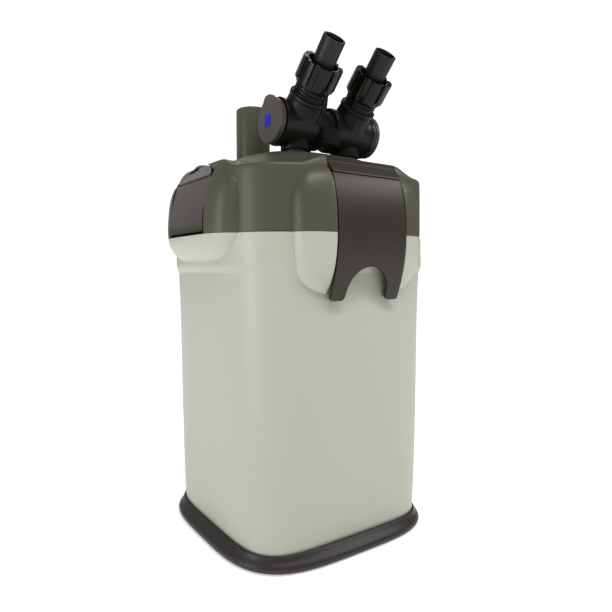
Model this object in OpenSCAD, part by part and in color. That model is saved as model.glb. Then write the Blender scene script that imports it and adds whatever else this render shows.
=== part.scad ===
// Canister filter: a square canister on a flared foot, a pump head held by two long
// clips, a priming plunger and a twin tap block with two angled hose connectors.
// Millimetres, +Z up, origin on the floor at the middle of the foot.
// The front, with the front clip and the hose connectors, faces -Y.

/* [Body] */
// Half width of the foot at its widest
foot_half = 90; // [86:0.5:96]
// Height of the foot skirt
foot_h = 12.2; // [10:0.2:16]
// Half width of the canister just above the foot
base_half = 80.7; // [78:0.1:82]
// Half width of the collar at the seam under the head
collar_half = 89; // [87:0.5:91]
// Height of the seam between canister and head
seam_z = 236; // [234:1:238]
// Height of the step below the collar
step_z = 212; // [205:1:214]
// Wall thickness of the canister and of the head
wall = 3; // [2.5:0.1:3.5]

/* [Head] */
// Height of the rim around the head
rim_z = 282.3; // [281:0.1:283]
// Height of the raised deck that carries the taps
deck_z = 299; // [297:0.5:300]
// Half width of the raised deck
deck_half = 51.5; // [48:0.5:54]

/* [Clips] */
// Half width of each boss
boss_half = 56; // [54:0.5:58]
// Lowest point of the front and rear bosses
boss_low = 188; // [186:1:192]
// Lowest point of the side bosses
side_low = 218; // [214:1:222]
// Height of the top of the bosses
boss_top = 289.5; // [289:0.5:290]
// Distance from the middle to the crest of each boss
crest = 100; // [99:0.5:101]
// Half width of a clip
clip_half = 31.2; // [29:0.1:32]
// Thickness of a clip
clip_t = 2.6; // [2.2:0.1:2.8]
// Radius of the steel clip pins
pin_r = 1.3; // [1.2:0.05:1.4]

/* [Primer] */
// Radius of the priming plunger
primer_r = 14; // [13:0.5:14.5]
// Top of the plunger at rest
primer_top = 345.5; // [340:0.5:350]
// Travel of the plunger
primer_travel = 26; // [20:1:26]

/* [Taps] */
// Height of the tap barrel's axis
barrel_z = 320.6; // [320:0.1:322]
// Radius of the tap barrel
barrel_r = 17; // [16.5:0.1:17.2]
// Half the distance between the two hose connectors
tap_half = 23.5; // [23:0.1:24]
// Length from the barrel's axis to the end of a hose tail
tail_end = 68.2; // [62:0.2:72]
// Outer radius of a hose tail, for 16 mm bore hose
tail_r = 8.2; // [7.8:0.1:8.4]
// Outer radius of a hose nut over its ribs
nut_r = 15; // [14.5:0.1:15.5]
// Running clearance between turning pieces
fit = 0.06; // [0.04:0.01:0.08]

/* [Media] */
// Height of one media basket
basket_h = 63.5; // [58:0.5:63.5]
// Half width of a media basket
basket_half = 72; // [68:0.5:73]

/* [Hidden] */
$fn = 96;
SIDES = 64;                       // points around each lofted outline
pad_spot = 62;                    // foot pads, from the middle on X and Y
bow_r = 120;                      // radius of the bowed faces of the bosses
bow_c = crest - bow_r;            // centre of the bow, from the middle
crease = 20.5;                    // angle on the bow where the sloping flange starts
flange_top = 84;                  // distance from the middle to the flange's top edge
slot_half = clip_half + 0.6;
panel_arch_r = 53;                // radius of the arch on top of a side panel
pin_y = flange_top + 0.3;
pin_z = boss_top - 5.3;
pocket_r = 5.9;                   // clearance round the turning top edge of a clip
hook_z = 217.6;                   // top face of a clip's hook
block_x = -1.5;                   // middle of the tap block
block_y = -38;
tilt = 45;                        // forward tilt of the hose connectors
neck_rim = 24.5;                  // along a connector, from the barrel's axis
thread_end = 33;
nut_low = 31.5;
nut_high = 50;
nut_step = 41.5;                  // shoulder that presses on the clamp ring
core_r = 11;
port_r = 8;
pipe_top = 309.3;                 // the pipes stop just below the valve cores
lever_y = -19.5;
lever_z = 330.5;
lever_half = 17;
lever_length = 28;
lever_lean = 14;                  // the lever leans forward at rest
primer_x = -28;
primer_y = 23;
motor_x = 24;
motor_y = 20;
plate_z = seam_z + 3.2;           // top of the head plate's flange
plug_z = 222;                     // underside of the head plate
basket_z = [for (k = [0:2]) 8.5 + k * basket_h];  // the baskets stand on each other
hose_stop = 49.5;                 // step that a hose is pushed up to
screw_spot = 61;
gland_x = -75;
gland_y = 19;

// ---- outlines and lofts ----

// Rounded-square outline: n = 2 is a circle, larger n is squarer
function outline(a, n) = [for (i = [0:SIDES - 1])
    let (t = 360 * i / SIDES, r = a / pow(pow(abs(cos(t)), n) + pow(abs(sin(t)), n), 1 / n))
    [r * cos(t), r * sin(t)]];

// Solid through rings, each [height, half width, squareness]
module loft(rings) {
    count = len(rings);
    points = [for (ring = rings) for (p = outline(ring[1], ring[2])) [p[0], p[1], ring[0]]];
    sides = [for (k = [0:count - 2]) for (i = [0:SIDES - 1])
        let (j = (i + 1) % SIDES, a = k * SIDES, b = a + SIDES)
        each [[a + i, b + j, a + j], [a + i, b + i, b + j]]];
    base = [for (i = [0:SIDES - 1]) i];
    lid = [for (i = [SIDES - 1:-1:0]) (count - 1) * SIDES + i];
    polyhedron(points, concat([base], sides, [lid]), convexity = 4);
}

module prism(a, n, z0, z1) {
    translate([0, 0, z0]) linear_extrude(z1 - z0) polygon(outline(a, n));
}

// Square with round corners, exact arcs
module round_square(a, r) {
    square([2 * a, 2 * (a - r)], center = true);
    square([2 * (a - r), 2 * a], center = true);
    for (x = [-1, 1], y = [-1, 1]) translate([x * (a - r), y * (a - r)]) circle(r);
}

module rod(r, z0, z1) { translate([0, 0, z0]) cylinder(h = z1 - z0, r = r); }

module tube(r, bore, z0, z1) {
    difference() {
        rod(r, z0, z1);
        rod(bore, z0 - 1, z1 + 1);
    }
}

// A shape drawn on X and Z, from y0 to y1
module along_y(y0, y1) { translate([0, y1, 0]) rotate([90, 0, 0]) linear_extrude(y1 - y0) children(); }

// A shape drawn on Y and Z, from x0 to x1
module along_x(x0, x1) { translate([x0, 0, 0]) rotate([90, 0, 90]) linear_extrude(x1 - x0) children(); }

module box(low, high) { translate(low) cube(high - low); }

// The four sides: front, rear, left and right
module front() { children(); }
module rear() { rotate([0, 0, 180]) children(); }
module left() { rotate([0, 0, -90]) children(); }
module right() { rotate([0, 0, 90]) children(); }

// ---- bosses, drawn for the front ----

// Side view of the bow, set back by off, with the sloping flange on top
function bow(off, top) = concat([[-60, 150]],
    [for (i = [-12:8]) let (a = crease * i / 8, r = bow_r - off) [-bow_c - r * cos(a), seam_z + r * sin(a)]],
    [[-flange_top + 1.25 * off, top], [-60, top]]);

module bow_solid(half, off, top = boss_top) { along_x(-half, half) polygon(bow(off, top)); }

// Plan of a boss, flat in the middle and rolled back at its edges
roll = [for (i = [0:10]) let (t = 90 * i / 10) [31 + (boss_half - 31) * sin(t), -crest - 1 + 14 * (1 - cos(t))]];
module boss_plan() {
    polygon(concat([[-boss_half, -60]], [for (i = [10:-1:0]) [-roll[i][0], roll[i][1]]], roll,
        [[boss_half, -60]]));
}

module boss_face(low, corner) {
    for (s = [-1, 1]) {
        translate([s * (boss_half - corner), low + corner]) circle(corner);
        translate([s * (boss_half - 24), boss_top - 23.5]) circle(24);
    }
    translate([-boss_half, low + corner]) square([2 * boss_half, boss_top - 23.5 - low - corner]);
    translate([-boss_half + corner, low]) square([2 * (boss_half - corner), 60]);
    translate([-boss_half + 24, boss_top - 60]) square([2 * (boss_half - 24), 60.5]);
}

module boss(low, corner) {
    intersection() {
        bow_solid(boss_half, 0);
        along_y(-110, -60) boss_face(low, corner);
        translate([0, 0, low]) linear_extrude(110) boss_plan();
    }
}

// The lower edge of a side boss is rounded under the panel
module side_boss() {
    intersection() {
        boss(side_low, 20);
        union() {
            along_x(-60, 60) translate([-crest + 18, side_low + 18]) circle(18);
            box([-60, -crest - 2, side_low + 18], [60, -60, boss_top]);
            box([-60, -crest + 18, side_low], [60, -60, boss_top]);
        }
    }
}

// Room for a clip between the cheeks of its boss
module clip_slot() {
    box([-slot_half, -110, boss_low - 10], [slot_half, -collar_half - 0.7, pin_z - 10]);
    difference() {
        box([-slot_half, -110, pin_z - 12], [slot_half, -flange_top + 6, boss_top + 2]);
        bow_solid(slot_half + 1, clip_t + 1, boss_top + 4);
    }
    translate([-slot_half, -pin_y, pin_z]) rotate([0, 90, 0]) cylinder(h = 2 * slot_half, r = pocket_r);
}

module clip_pin_bore() {
    translate([-37, -pin_y, pin_z]) rotate([0, 90, 0]) cylinder(h = 74, r = pin_r + 0.02);
}

// ---- canister and foot ----

canister_rings = [[5, 80.2, 5.2], [foot_h, base_half, 5.2], [120, base_half + 3.2, 4.6],
    [step_z - 3, collar_half - 2.4, 3.9], [step_z + 1.5, collar_half - 0.6, 3.6], [seam_z, collar_half, 3.5]];
cavity_rings = [[8.5, 77.4, 5.2], [120, base_half + 0.2, 4.6], [step_z - 3, collar_half - wall - 2.4, 3.9],
    [step_z + 1.5, collar_half - wall - 0.6, 3.6], [seam_z + 1, collar_half - wall, 3.5]];

module clip_lug() { box([-20, -95.2, hook_z + 0.4], [20, -86, hook_z + 5.4]); }

module canister() {
    color([0.76, 0.77, 0.73]) difference() {
        union() {
            loft(canister_rings);
            intersection() {
                box([-110, -110, 100], [110, 110, seam_z]);
                union() {
                    for (turn = [0, 180]) rotate([0, 0, turn]) difference() {
                        boss(boss_low, 24);
                        box([-slot_half, -110, boss_low - 1], [slot_half, -50, seam_z + 1]);
                    }
                    left() side_boss();
                    right() side_boss();
                }
            }
            front() clip_lug();
            rear() clip_lug();
        }
        loft(cavity_rings);
    }
}

module foot() {
    color([0.3, 0.29, 0.29]) difference() {
        loft([[1, foot_half - 2, 3.7], [2.5, foot_half - 0.3, 3.7], [4.5, foot_half, 3.7],
            [8, foot_half - 3.6, 3.9], [foot_h, base_half + 2.4, 4.6]]);
        loft([[5, base_half, 5.2], [foot_h + 0.5, base_half + 0.5, 5.2]]);
        for (x = [-1, 1], y = [-1, 1]) translate([x * pad_spot, y * pad_spot, 0]) rod(9.05, 0, 3);
    }
}

module foot_pads() {
    color([0.1, 0.1, 0.1]) for (x = [-1, 1], y = [-1, 1])
        translate([x * pad_spot, y * pad_spot, 0]) {
            rod(8.4, 0, 1);
            rod(9, 1, 3);
        }
}

// ---- head ----

module head_roof() {
    loft([[seam_z + 0.2, collar_half, 3.5], [rim_z - 3, collar_half - 0.4, 3.5],
        [rim_z - 0.7, collar_half - 1.2, 3.5], [rim_z, collar_half - 2.8, 3.5],
        [rim_z + 1, collar_half - 6.5, 3.4], [287, 72, 3.2], [294, 61.5, 3],
        [deck_z - 1, deck_half + 2.5, 2.8], [deck_z, deck_half, 2.8]]);
}

module head_cavity() {
    difference() {
        loft([[seam_z - 1, collar_half - 1.5, 3.5], [plate_z + 0.2, collar_half - 1.5, 3.5],
            [plate_z + 0.3, collar_half - wall, 3.5], [rim_z - 4, collar_half - wall - 0.6, 3.5],
            [284, 70, 3.2], [291, 58, 3], [deck_z - wall, deck_half - 2, 2.8]]);
        for (turn = [0, 180]) rotate([0, 0, turn])
            box([-36, -92, pin_z - 12], [36, -75.8, deck_z]);
        for (x = [-1, 1], y = [-1, 1]) translate([x * screw_spot, y * screw_spot, 0])
            rod(5, plate_z + 0.2, 290);
    }
}

// The side panels end in an arch at the top
module panel_arch(gap) { along_y(-110, -60) translate([0, boss_top - panel_arch_r]) circle(panel_arch_r + gap); }

module panel_recess() {
    intersection() {
        difference() {
            box([-slot_half, -110, seam_z + 0.2], [slot_half, -60, boss_top]);
            bow_solid(slot_half + 1, 3.8, boss_top + 1);
        }
        panel_arch(0.3);
    }
}

module head_cover() {
    color([0.39, 0.39, 0.34]) difference() {
        union() {
            head_roof();
            intersection() {
                box([-110, -110, seam_z + 0.2], [110, 110, boss_top + 1]);
                union() {
                    for (turn = [0, 180]) rotate([0, 0, turn]) boss(boss_low, 24);
                    left() side_boss();
                    right() side_boss();
                }
            }
        }
        for (turn = [0, 180]) rotate([0, 0, turn]) clip_slot();
        for (turn = [-90, 90]) rotate([0, 0, turn]) panel_recess();
        translate([primer_x, primer_y, 0]) rod(24, 291, deck_z + 1);
        head_cavity();
        for (turn = [0, 180]) rotate([0, 0, turn]) clip_pin_bore();
        translate([primer_x, primer_y, 0]) rod(16.1, 270, deck_z + 1);
        for (s = [-1, 1]) translate([block_x + s * tap_half, block_y, 0]) rod(port_r + 0.1, 280, deck_z + 1);
        for (x = [-1, 1], y = [-1, 1]) translate([x * screw_spot, y * screw_spot, 0])
            rod(1.9, plate_z - 1, 262);
        translate([gland_x, gland_y, 0]) rod(4.1, 270, boss_top + 1);
    }
}

module head_plate() {
    color([0.2, 0.2, 0.2]) difference() {
        union() {
            prism(collar_half - wall - 1.2, 3.6, plug_z, seam_z);
            prism(collar_half - 1.8, 3.5, seam_z, plate_z);
        }
        difference() {
            prism(collar_half, 3.5, 226, 230);
            prism(collar_half - wall - 2.9, 3.6, 225, 231);
        }
        for (s = [-1, 1]) translate([block_x + s * tap_half, block_y, 0]) rod(port_r + 0.1, plug_z - 1, plate_z + 1);
        translate([motor_x, motor_y, 0]) rod(13.5, plug_z - 1, plate_z + 1);
        for (x = [-1, 1], y = [-1, 1]) translate([x * screw_spot, y * screw_spot, 0])
            rod(2, plug_z - 1, plate_z + 1);
    }
}

module head_seal() {
    color([0.12, 0.12, 0.12]) difference() {
        prism(collar_half - wall - 0.75, 3.6, 226.2, 229.8);
        prism(collar_half - wall - 2.8, 3.6, 225, 231);
    }
}

module head_screws() {
    color([0.7, 0.7, 0.7]) for (x = [-1, 1], y = [-1, 1])
        translate([x * screw_spot, y * screw_spot, 0]) difference() {
            union() {
                rod(3.6, plug_z - 2.4, plug_z);
                rod(1.85, plug_z, 258);
            }
            translate([-0.5, -3, plug_z - 3]) cube([1, 6, 1.6]);
        }
}

// ---- clips and panels ----

module clip() {
    color([0.27, 0.25, 0.24]) difference() {
        union() {
            intersection() {
                difference() {
                    bow_solid(clip_half, 0.4);
                    bow_solid(clip_half + 1, 0.4 + clip_t, boss_top + 1);
                }
                box([-clip_half, -110, boss_low + 1], [clip_half, -flange_top + 0.7, boss_top + 1]);
            }
            intersection() {
                bow_solid(clip_half, 0.4);
                translate([-clip_half, -pin_y, pin_z]) rotate([0, 90, 0]) cylinder(h = 2 * clip_half, r = 3);
            }
            intersection() {
                bow_solid(clip_half, 0.5);
                box([-20, -100, hook_z - 3.6], [20, -91.4, hook_z]);
            }
        }
        translate([-40, -pin_y, pin_z]) rotate([0, 90, 0]) cylinder(h = 80, r = pin_r + fit);
        along_y(-110, -80) {
            translate([0, boss_low + 6]) circle(19);
            translate([-19, boss_low - 5]) square([38, 11]);
        }
    }
}

module clip_pin() {
    color([0.75, 0.75, 0.76]) translate([-36.5, -pin_y, pin_z]) rotate([0, 90, 0])
        cylinder(h = 73, r = pin_r);
}

module side_panel() {
    color([0.3, 0.28, 0.27]) intersection() {
        difference() {
            bow_solid(clip_half, 0.3);
            bow_solid(clip_half + 1, 3.5, boss_top + 1);
        }
        box([-clip_half, -110, seam_z + 2], [clip_half, -flange_top + 2, boss_top]);
        panel_arch(-0.3);
    }
}

// ---- pump ----

module motor_housing() {
    color([0.15, 0.15, 0.15]) translate([motor_x, motor_y, 0]) {
        difference() {
            rod(32, plate_z, 284);
            rod(29.5, plate_z + 3, 281);
            rod(13.5, plate_z - 1, plate_z + 4);
        }
        difference() {
            rod(15.5, plate_z + 3, 281);
            rod(13.5, plate_z - 1, 278);
        }
    }
}

module stator() {
    color([0.72, 0.45, 0.2]) translate([motor_x, motor_y, 0]) tube(28.8, 16, plate_z + 3.5, 280.5);
}

module rotor_magnet() {
    color([0.25, 0.25, 0.27]) translate([motor_x, motor_y, 0]) tube(12.8, 2.5 + fit, 231, 270);
}

module impeller() {
    color([0.85, 0.85, 0.8]) translate([motor_x, motor_y, 0]) difference() {
        union() {
            rod(8, 211, 231);
            rod(21, 218.4, 220.4);
            for (k = [0:5]) rotate([0, 0, 60 * k]) box([6, -0.8, 211], [20.5, 0.8, 218.4]);
        }
        rod(2.5 + fit, 210, 232);
    }
}

module rotor_shaft() {
    color([0.95, 0.95, 0.92]) translate([motor_x, motor_y, 0]) rod(2.5, 206.8, 276);
}

module shaft_bushes() {
    color([0.1, 0.1, 0.1]) translate([motor_x, motor_y, 0]) {
        difference() {
            rod(6, 271, 278);
            rod(2.5, 270, 276);
        }
        difference() {
            rod(5, 206.3, 210.4);
            rod(2.5, 206.8, 211);
        }
    }
}

// Chamber under the plate with a side arm to the outlet pipe
module volute(off) {
    translate([motor_x, motor_y]) circle(30 - off);
    translate([block_x + tap_half, block_y]) circle(13 - off);
    translate([block_x + tap_half - 10 + off, block_y]) square([20 - 2 * off, motor_y - block_y]);
}

module impeller_cover() {
    color([0.35, 0.36, 0.37]) difference() {
        translate([0, 0, 204]) linear_extrude(plug_z - 204) volute(0);
        translate([0, 0, 206.3]) linear_extrude(20) volute(2.4);
        for (k = [0:5]) translate([motor_x, motor_y, 0]) rotate([0, 0, 60 * k])
            translate([9.5, 0, 0]) rod(3, 203, 207);
    }
}

module riser_tube() {
    color([0.3, 0.3, 0.3]) translate([block_x - tap_half, block_y, 0]) difference() {
        tube(10.5, 8.6, 12, plug_z);
        for (k = [0:3]) rotate([0, 0, 45 + 90 * k]) box([6, -2.5, 11], [12, 2.5, 26]);
    }
}

module pipe(side) {
    color([0.33, 0.33, 0.34]) translate([block_x + side * tap_half, block_y, 0]) difference() {
        rod(port_r, plug_z, pipe_top);
        rod(6.5, plug_z - 1, pipe_top + 1);
        difference() {
            rod(9, 304, 305);
            rod(port_r - 0.8, 303, 306);
        }
    }
}

module pipe_seals() {
    color([0.1, 0.1, 0.1]) for (s = [-1, 1]) translate([block_x + s * tap_half, block_y, 304.5])
        rotate_extrude() translate([port_r - 0.36, 0]) circle(0.4, $fn = 24);
}

// ---- media ----

module basket(z) {
    color([0.16, 0.17, 0.17]) translate([0, 0, z]) difference() {
        union() {
            difference() {
                linear_extrude(basket_h) round_square(basket_half, 20);
                translate([0, 0, 2]) linear_extrude(basket_h) round_square(basket_half - 2, 18);
            }
            translate([block_x - tap_half, block_y, 0]) rod(13, 0, basket_h);
        }
        translate([block_x - tap_half, block_y, 0]) rod(11.2, -1, basket_h + 1);
        for (k = [-3:3]) {
            box([8, 16 * k - 3.5, -1], [62, 16 * k + 3.5, 3]);
            if (abs(16 * k - block_y) > 18) box([-62, 16 * k - 3.5, -1], [0, 16 * k + 3.5, 3]);
        }
    }
}

module basket_lid() {
    z = basket_z[2] + basket_h + 0.2;
    color([0.2, 0.21, 0.21]) translate([0, 0, z]) difference() {
        linear_extrude(2.4) round_square(basket_half, 20);
        translate([block_x - tap_half, block_y, 0]) rod(11.2, -1, 4);
        for (k = [-3:3]) box([8, 16 * k - 3.5, -1], [62, 16 * k + 3.5, 4]);
    }
}

// Pad that fills a basket's plan between two heights, with room for the riser's sleeve
module pad(z0, z1) {
    difference() {
        translate([0, 0, z0]) linear_extrude(z1 - z0) round_square(basket_half - 2.6, 17.4);
        translate([block_x - tap_half, block_y, 0]) rod(13.5, z0 - 1, z1 + 1);
    }
}

module coarse_foam() { color([0.15, 0.25, 0.45]) pad(basket_z[0] + 2.3, basket_z[0] + 58); }

module fine_foam() { color([0.93, 0.93, 0.9]) pad(basket_z[2] + 2.3, basket_z[2] + 24); }

function clear_of_riser(x, y) = norm([x - block_x + tap_half, y - block_y]) > 24;

module ceramic_rings() {
    color([0.9, 0.87, 0.8]) for (x = [-2:2], y = [-2:2], k = [0, 1]) if (clear_of_riser(26 * x, 26 * y))
        translate([26 * x, 26 * y, basket_z[1] + 2.4 + 27 * k]) tube(9, 4.5, 0, 24);
}

module bio_balls() {
    color([0.2, 0.35, 0.6]) for (x = [-2:2], y = [-2:2]) if (clear_of_riser(26 * x, 26 * y))
        translate([26 * x, 26 * y, basket_z[2] + 38]) sphere(12.4, $fn = 32);
}

// ---- primer ----

module primer_plunger() {
    color([0.39, 0.39, 0.33]) translate([primer_x, primer_y, 0]) rotate_extrude() polygon(concat(
        [[12, 268], [primer_r, 268]],
        [for (a = [0:15:90]) [primer_r - 1.5 + 1.5 * cos(a), primer_top - 1.5 + 1.5 * sin(a)]],
        [[0, primer_top], [0, primer_top - 2.5], [12, primer_top - 2.5]]));
}

// Round wire swept along a helix
module coil(r, wire, z0, z1, turns) {
    steps = turns * 14;
    points = [for (i = [0:steps]) let (a = 360 * turns * i / steps, z = z0 + (z1 - z0) * i / steps)
        for (k = [0:5]) let (c = r + wire * cos(60 * k)) [c * cos(a), c * sin(a), z + wire * sin(60 * k)]];
    sides = [for (i = [0:steps - 1], k = [0:5]) let (a = 6 * i, b = 6 * i + 6, m = (k + 1) % 6)
        each [[a + k, a + m, b + m], [a + k, b + m, b + k]]];
    polyhedron(points, concat([[5, 4, 3, 2, 1, 0]], sides, [[for (k = [0:5]) 6 * steps + k]]), convexity = 8);
}

module primer_spring() {
    color([0.75, 0.75, 0.76]) translate([primer_x, primer_y, 0]) coil(9, 0.8, plate_z + 1, primer_top - 3.5, 9);
}

module primer_guide() {
    color([0.25, 0.25, 0.24]) translate([primer_x, primer_y, 0]) tube(16, primer_r + 0.3, plate_z, 288);
}

module primer_collar() {
    color([0.36, 0.36, 0.31]) translate([primer_x, primer_y, 0]) difference() {
        union() {
            rod(16, 288, 291);
            rod(16.6, 291, 303);
        }
        rod(primer_r + 0.3, 287, 304);
    }
}

// ---- taps ----

module tap_frame(side) { translate([block_x + side * tap_half, block_y, barrel_z]) children(); }
module neck_frame(side) { tap_frame(side) rotate([tilt, 0, 0]) children(); }

module barrel_rod(r, x0, x1) {
    translate([block_x + x0, block_y, barrel_z]) rotate([0, 90, 0]) cylinder(h = x1 - x0, r = r);
}

module lever_ear() {
    along_x(0, 3.2) {
        translate([lever_y, lever_z]) circle(4);
        translate([block_y + 8, lever_z - 8]) square([lever_y - block_y - 8, 12]);
    }
}

module tap_block() {
    color([0.13, 0.13, 0.12]) difference() {
        union() {
            for (s = [-1, 1]) {
                barrel_rod(barrel_r, min(s * 4, s * 41.3), max(s * 4, s * 41.3));
                barrel_rod(barrel_r + 0.5, s > 0 ? 38.8 : -41.3, s > 0 ? 41.3 : -38.8);
                tap_frame(s) rod(11.5, 301 - barrel_z, 0);
                neck_frame(s) {
                    cylinder(h = neck_rim, r1 = 16.4, r2 = 13.4);
                    rod(14, neck_rim - 3, neck_rim);
                    rod(11.6, neck_rim, thread_end);
                    for (k = [0:2]) rod(12.2, neck_rim + 1.2 + 2.6 * k, neck_rim + 2.4 + 2.6 * k);
                }
                translate([block_x + (s > 0 ? lever_half + 0.5 : -lever_half - 3.7), 0, 0]) lever_ear();
            }
            barrel_rod(14, -5, 5);
            box([block_x - 12, block_y - barrel_r, 305.2], [block_x + 4.5, -36, 318]);
        }
        for (s = [-1, 1]) {
            barrel_rod(core_r + fit, s > 0 ? 9.5 : -42, s > 0 ? 42 : -9.5);
            tap_frame(s) {
                rod(port_r + 0.1, 300 - barrel_z, pipe_top + 0.2 - barrel_z);
                rod(6.5, 300 - barrel_z, 0);
            }
            neck_frame(s) {
                rod(6.5, 0, 30);
                rod(tail_r - 0.17, 18, 40);
            }
            translate([block_x + (s > 0 ? lever_half : -lever_half - 5), lever_y, lever_z])
                rotate([0, 90, 0]) cylinder(h = 5, r = 1.52);
        }
    }
}

module label_plate() {
    front_y = block_y - barrel_r;
    color([0, 0, 0]) box([block_x - 11.6, front_y - 1.4, 305.4], [block_x + 4.1, front_y, 318]);
}

// Disc with a thumb lobe, for the left end; the right one is its mirror image
module tap_knob() {
    color([0.39, 0.37, 0.36]) translate([0, block_y, barrel_z]) difference() {
        union() {
            along_x(-47.2, -42) {
                circle(16.7);
                translate([4.7, 13]) circle(6.8);
            }
            translate([-42, 0, 0]) rotate([0, 90, 0]) cylinder(h = 2, r = 6);
        }
        box([-48, -2.3, -4.5], [-46.6, 6.3, 4.3]);
    }
}

module tap_mark() {
    color([0.12, 0.12, 0.8]) box([-47.4, block_y - 2.2, barrel_z - 4.4], [-46.6, block_y + 6.2, barrel_z + 4.2]);
}

module valve_core() {
    color([0.85, 0.85, 0.83]) translate([0, block_y, barrel_z]) difference() {
        union() {
            translate([-38, 0, 0]) rotate([0, 90, 0]) cylinder(h = 28, r = core_r);
            translate([-40, 0, 0]) rotate([0, 90, 0]) cylinder(h = 3, r = 6);
        }
        translate([-tap_half, 0, 0]) {
            rod(6.5, -20, 0);
            rotate([tilt, 0, 0]) rod(6.5, 0, 20);
            sphere(7.4);
        }
    }
}

module at_left() { translate([block_x, 0, 0]) children(); }
module at_right() { translate([block_x, 0, 0]) mirror([1, 0, 0]) children(); }

module hose_tail(side) {
    color([0.2, 0.19, 0.18]) neck_frame(side) difference() {
        union() {
            rod(tail_r - 0.2, 18, hose_stop);
            rod(tail_r, hose_stop, tail_end - 1);
            translate([0, 0, tail_end - 1]) cylinder(h = 1, r1 = tail_r, r2 = tail_r - 0.5);
        }
        rod(6.6, 17, tail_end + 1);
    }
}

module clamp_ring(side) {
    color([0.12, 0.12, 0.12]) neck_frame(side) difference() {
        tube(12, 9.2, 34, nut_step - 0.3);
        box([-0.8, 8, 33], [0.8, 13, nut_step]);
    }
}

module hose_nut(side) {
    color([0.07, 0.06, 0.05]) neck_frame(side) difference() {
        union() {
            rod(13.1, nut_low, nut_high);
            translate([0, 0, nut_low + 2]) linear_extrude(nut_high - nut_low - 2) for (k = [0:7])
                rotate([0, 0, 45 * k + 22.5]) intersection() {
                    circle(nut_r);
                    translate([0, -3.6]) square([nut_r + 1, 7.2]);
                }
        }
        rod(12.35, nut_low - 1, nut_step);
        rod(11.1, nut_step - 1, nut_high + 1);
    }
}

module release_lever() {
    tip = lever_length;
    color([0.2, 0.2, 0.18]) translate([block_x, lever_y, lever_z]) difference() {
        rotate([lever_lean, 0, 0]) {
            translate([-lever_half, 0, 0]) rotate([0, 90, 0]) cylinder(h = 2 * lever_half, r = 3.6);
            along_y(-1.6, 1.6) polygon([[-lever_half, 0], [lever_half, 0], [lever_half - 1, tip - 3],
                [lever_half - 3.5, tip], [3.5 - lever_half, tip], [1 - lever_half, tip - 3]]);
            for (k = [0:3]) translate([-lever_half + 4, 2, tip - 16 + 4 * k]) rotate([0, 90, 0])
                cylinder(h = 2 * lever_half - 8, r = 0.8, $fn = 24);
        }
        translate([-25, 0, 0]) rotate([0, 90, 0]) cylinder(h = 50, r = 1.5 + fit);
    }
}

module lever_pin() {
    color([0.75, 0.75, 0.76]) translate([block_x - lever_half - 3.6, lever_y, lever_z])
        rotate([0, 90, 0]) cylinder(h = 2 * lever_half + 7.2, r = 1.5);
}

module cord_gland() {
    color([0.45, 0.44, 0.42]) translate([gland_x, gland_y, 0]) rotate_extrude() polygon([[2.2, 282], [4, 282],
        [4, boss_top], [7.4, boss_top], [7.2, boss_top + 1.8], [6, boss_top + 3.2], [3.6, boss_top + 4],
        [2.6, boss_top + 4]]);
}

foot();
foot_pads();
canister();
head_cover();
head_plate();
head_seal();
head_screws();
front() clip();  // front_clip
rear() clip();  // rear_clip
front() clip_pin();  // front_clip_pin
rear() clip_pin();  // rear_clip_pin
left() side_panel();  // left_panel
right() side_panel();  // right_panel
motor_housing();
stator();
rotor_magnet();
impeller();
rotor_shaft();
shaft_bushes();
impeller_cover();
riser_tube();
pipe(-1);  // inlet_pipe
pipe(1);  // outlet_pipe
pipe_seals();
basket(basket_z[0]);  // lower_basket
basket(basket_z[1]);  // middle_basket
basket(basket_z[2]);  // upper_basket
basket_lid();
coarse_foam();
fine_foam();
ceramic_rings();
bio_balls();
primer_plunger();
primer_spring();
primer_guide();
primer_collar();
tap_block();
label_plate();
at_left() tap_knob();  // left_tap_knob
at_right() tap_knob();  // right_tap_knob
at_left() valve_core();  // left_valve_core
at_right() valve_core();  // right_valve_core
at_left() tap_mark();  // left_tap_mark
at_right() tap_mark();  // right_tap_mark
hose_tail(-1);  // left_hose_tail
hose_tail(1);  // right_hose_tail
clamp_ring(-1);  // left_clamp_ring
clamp_ring(1);  // right_clamp_ring
hose_nut(-1);  // left_hose_nut
hose_nut(1);  // right_hose_nut
release_lever();
lever_pin();
cord_gland();
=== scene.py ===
"""Canister filter: rounded shells, clips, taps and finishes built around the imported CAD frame."""
import math

import bpy
import numpy as np
from bpy.props import FloatProperty, FloatVectorProperty, IntProperty, PointerProperty
from mathutils import Matrix, Vector


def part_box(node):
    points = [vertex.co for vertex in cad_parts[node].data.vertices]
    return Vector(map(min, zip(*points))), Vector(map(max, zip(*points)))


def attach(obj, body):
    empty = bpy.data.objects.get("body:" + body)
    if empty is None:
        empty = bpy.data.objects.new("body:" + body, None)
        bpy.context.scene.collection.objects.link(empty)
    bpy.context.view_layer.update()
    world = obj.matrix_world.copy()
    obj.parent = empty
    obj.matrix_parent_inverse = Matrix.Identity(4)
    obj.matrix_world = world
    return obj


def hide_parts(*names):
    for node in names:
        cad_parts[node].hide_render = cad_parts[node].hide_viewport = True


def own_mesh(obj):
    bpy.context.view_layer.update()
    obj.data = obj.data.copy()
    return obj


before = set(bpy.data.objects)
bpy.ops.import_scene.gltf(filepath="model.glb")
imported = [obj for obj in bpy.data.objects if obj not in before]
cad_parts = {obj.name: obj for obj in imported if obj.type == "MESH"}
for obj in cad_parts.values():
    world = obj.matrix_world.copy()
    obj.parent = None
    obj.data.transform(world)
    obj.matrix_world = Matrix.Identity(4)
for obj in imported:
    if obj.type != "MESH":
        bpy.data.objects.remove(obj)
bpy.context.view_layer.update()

bl_info = {
    "name": "Canister filter",
    "version": (1, 0, 0),
    "blender": (4, 5, 0),
    "location": "3D View > Sidebar > Filter",
    "description": "Builds a canister filter with its clips, taps and hose connectors",
    "category": "Object",
}

MM = 0.001
TURN = 2 * math.pi


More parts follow.
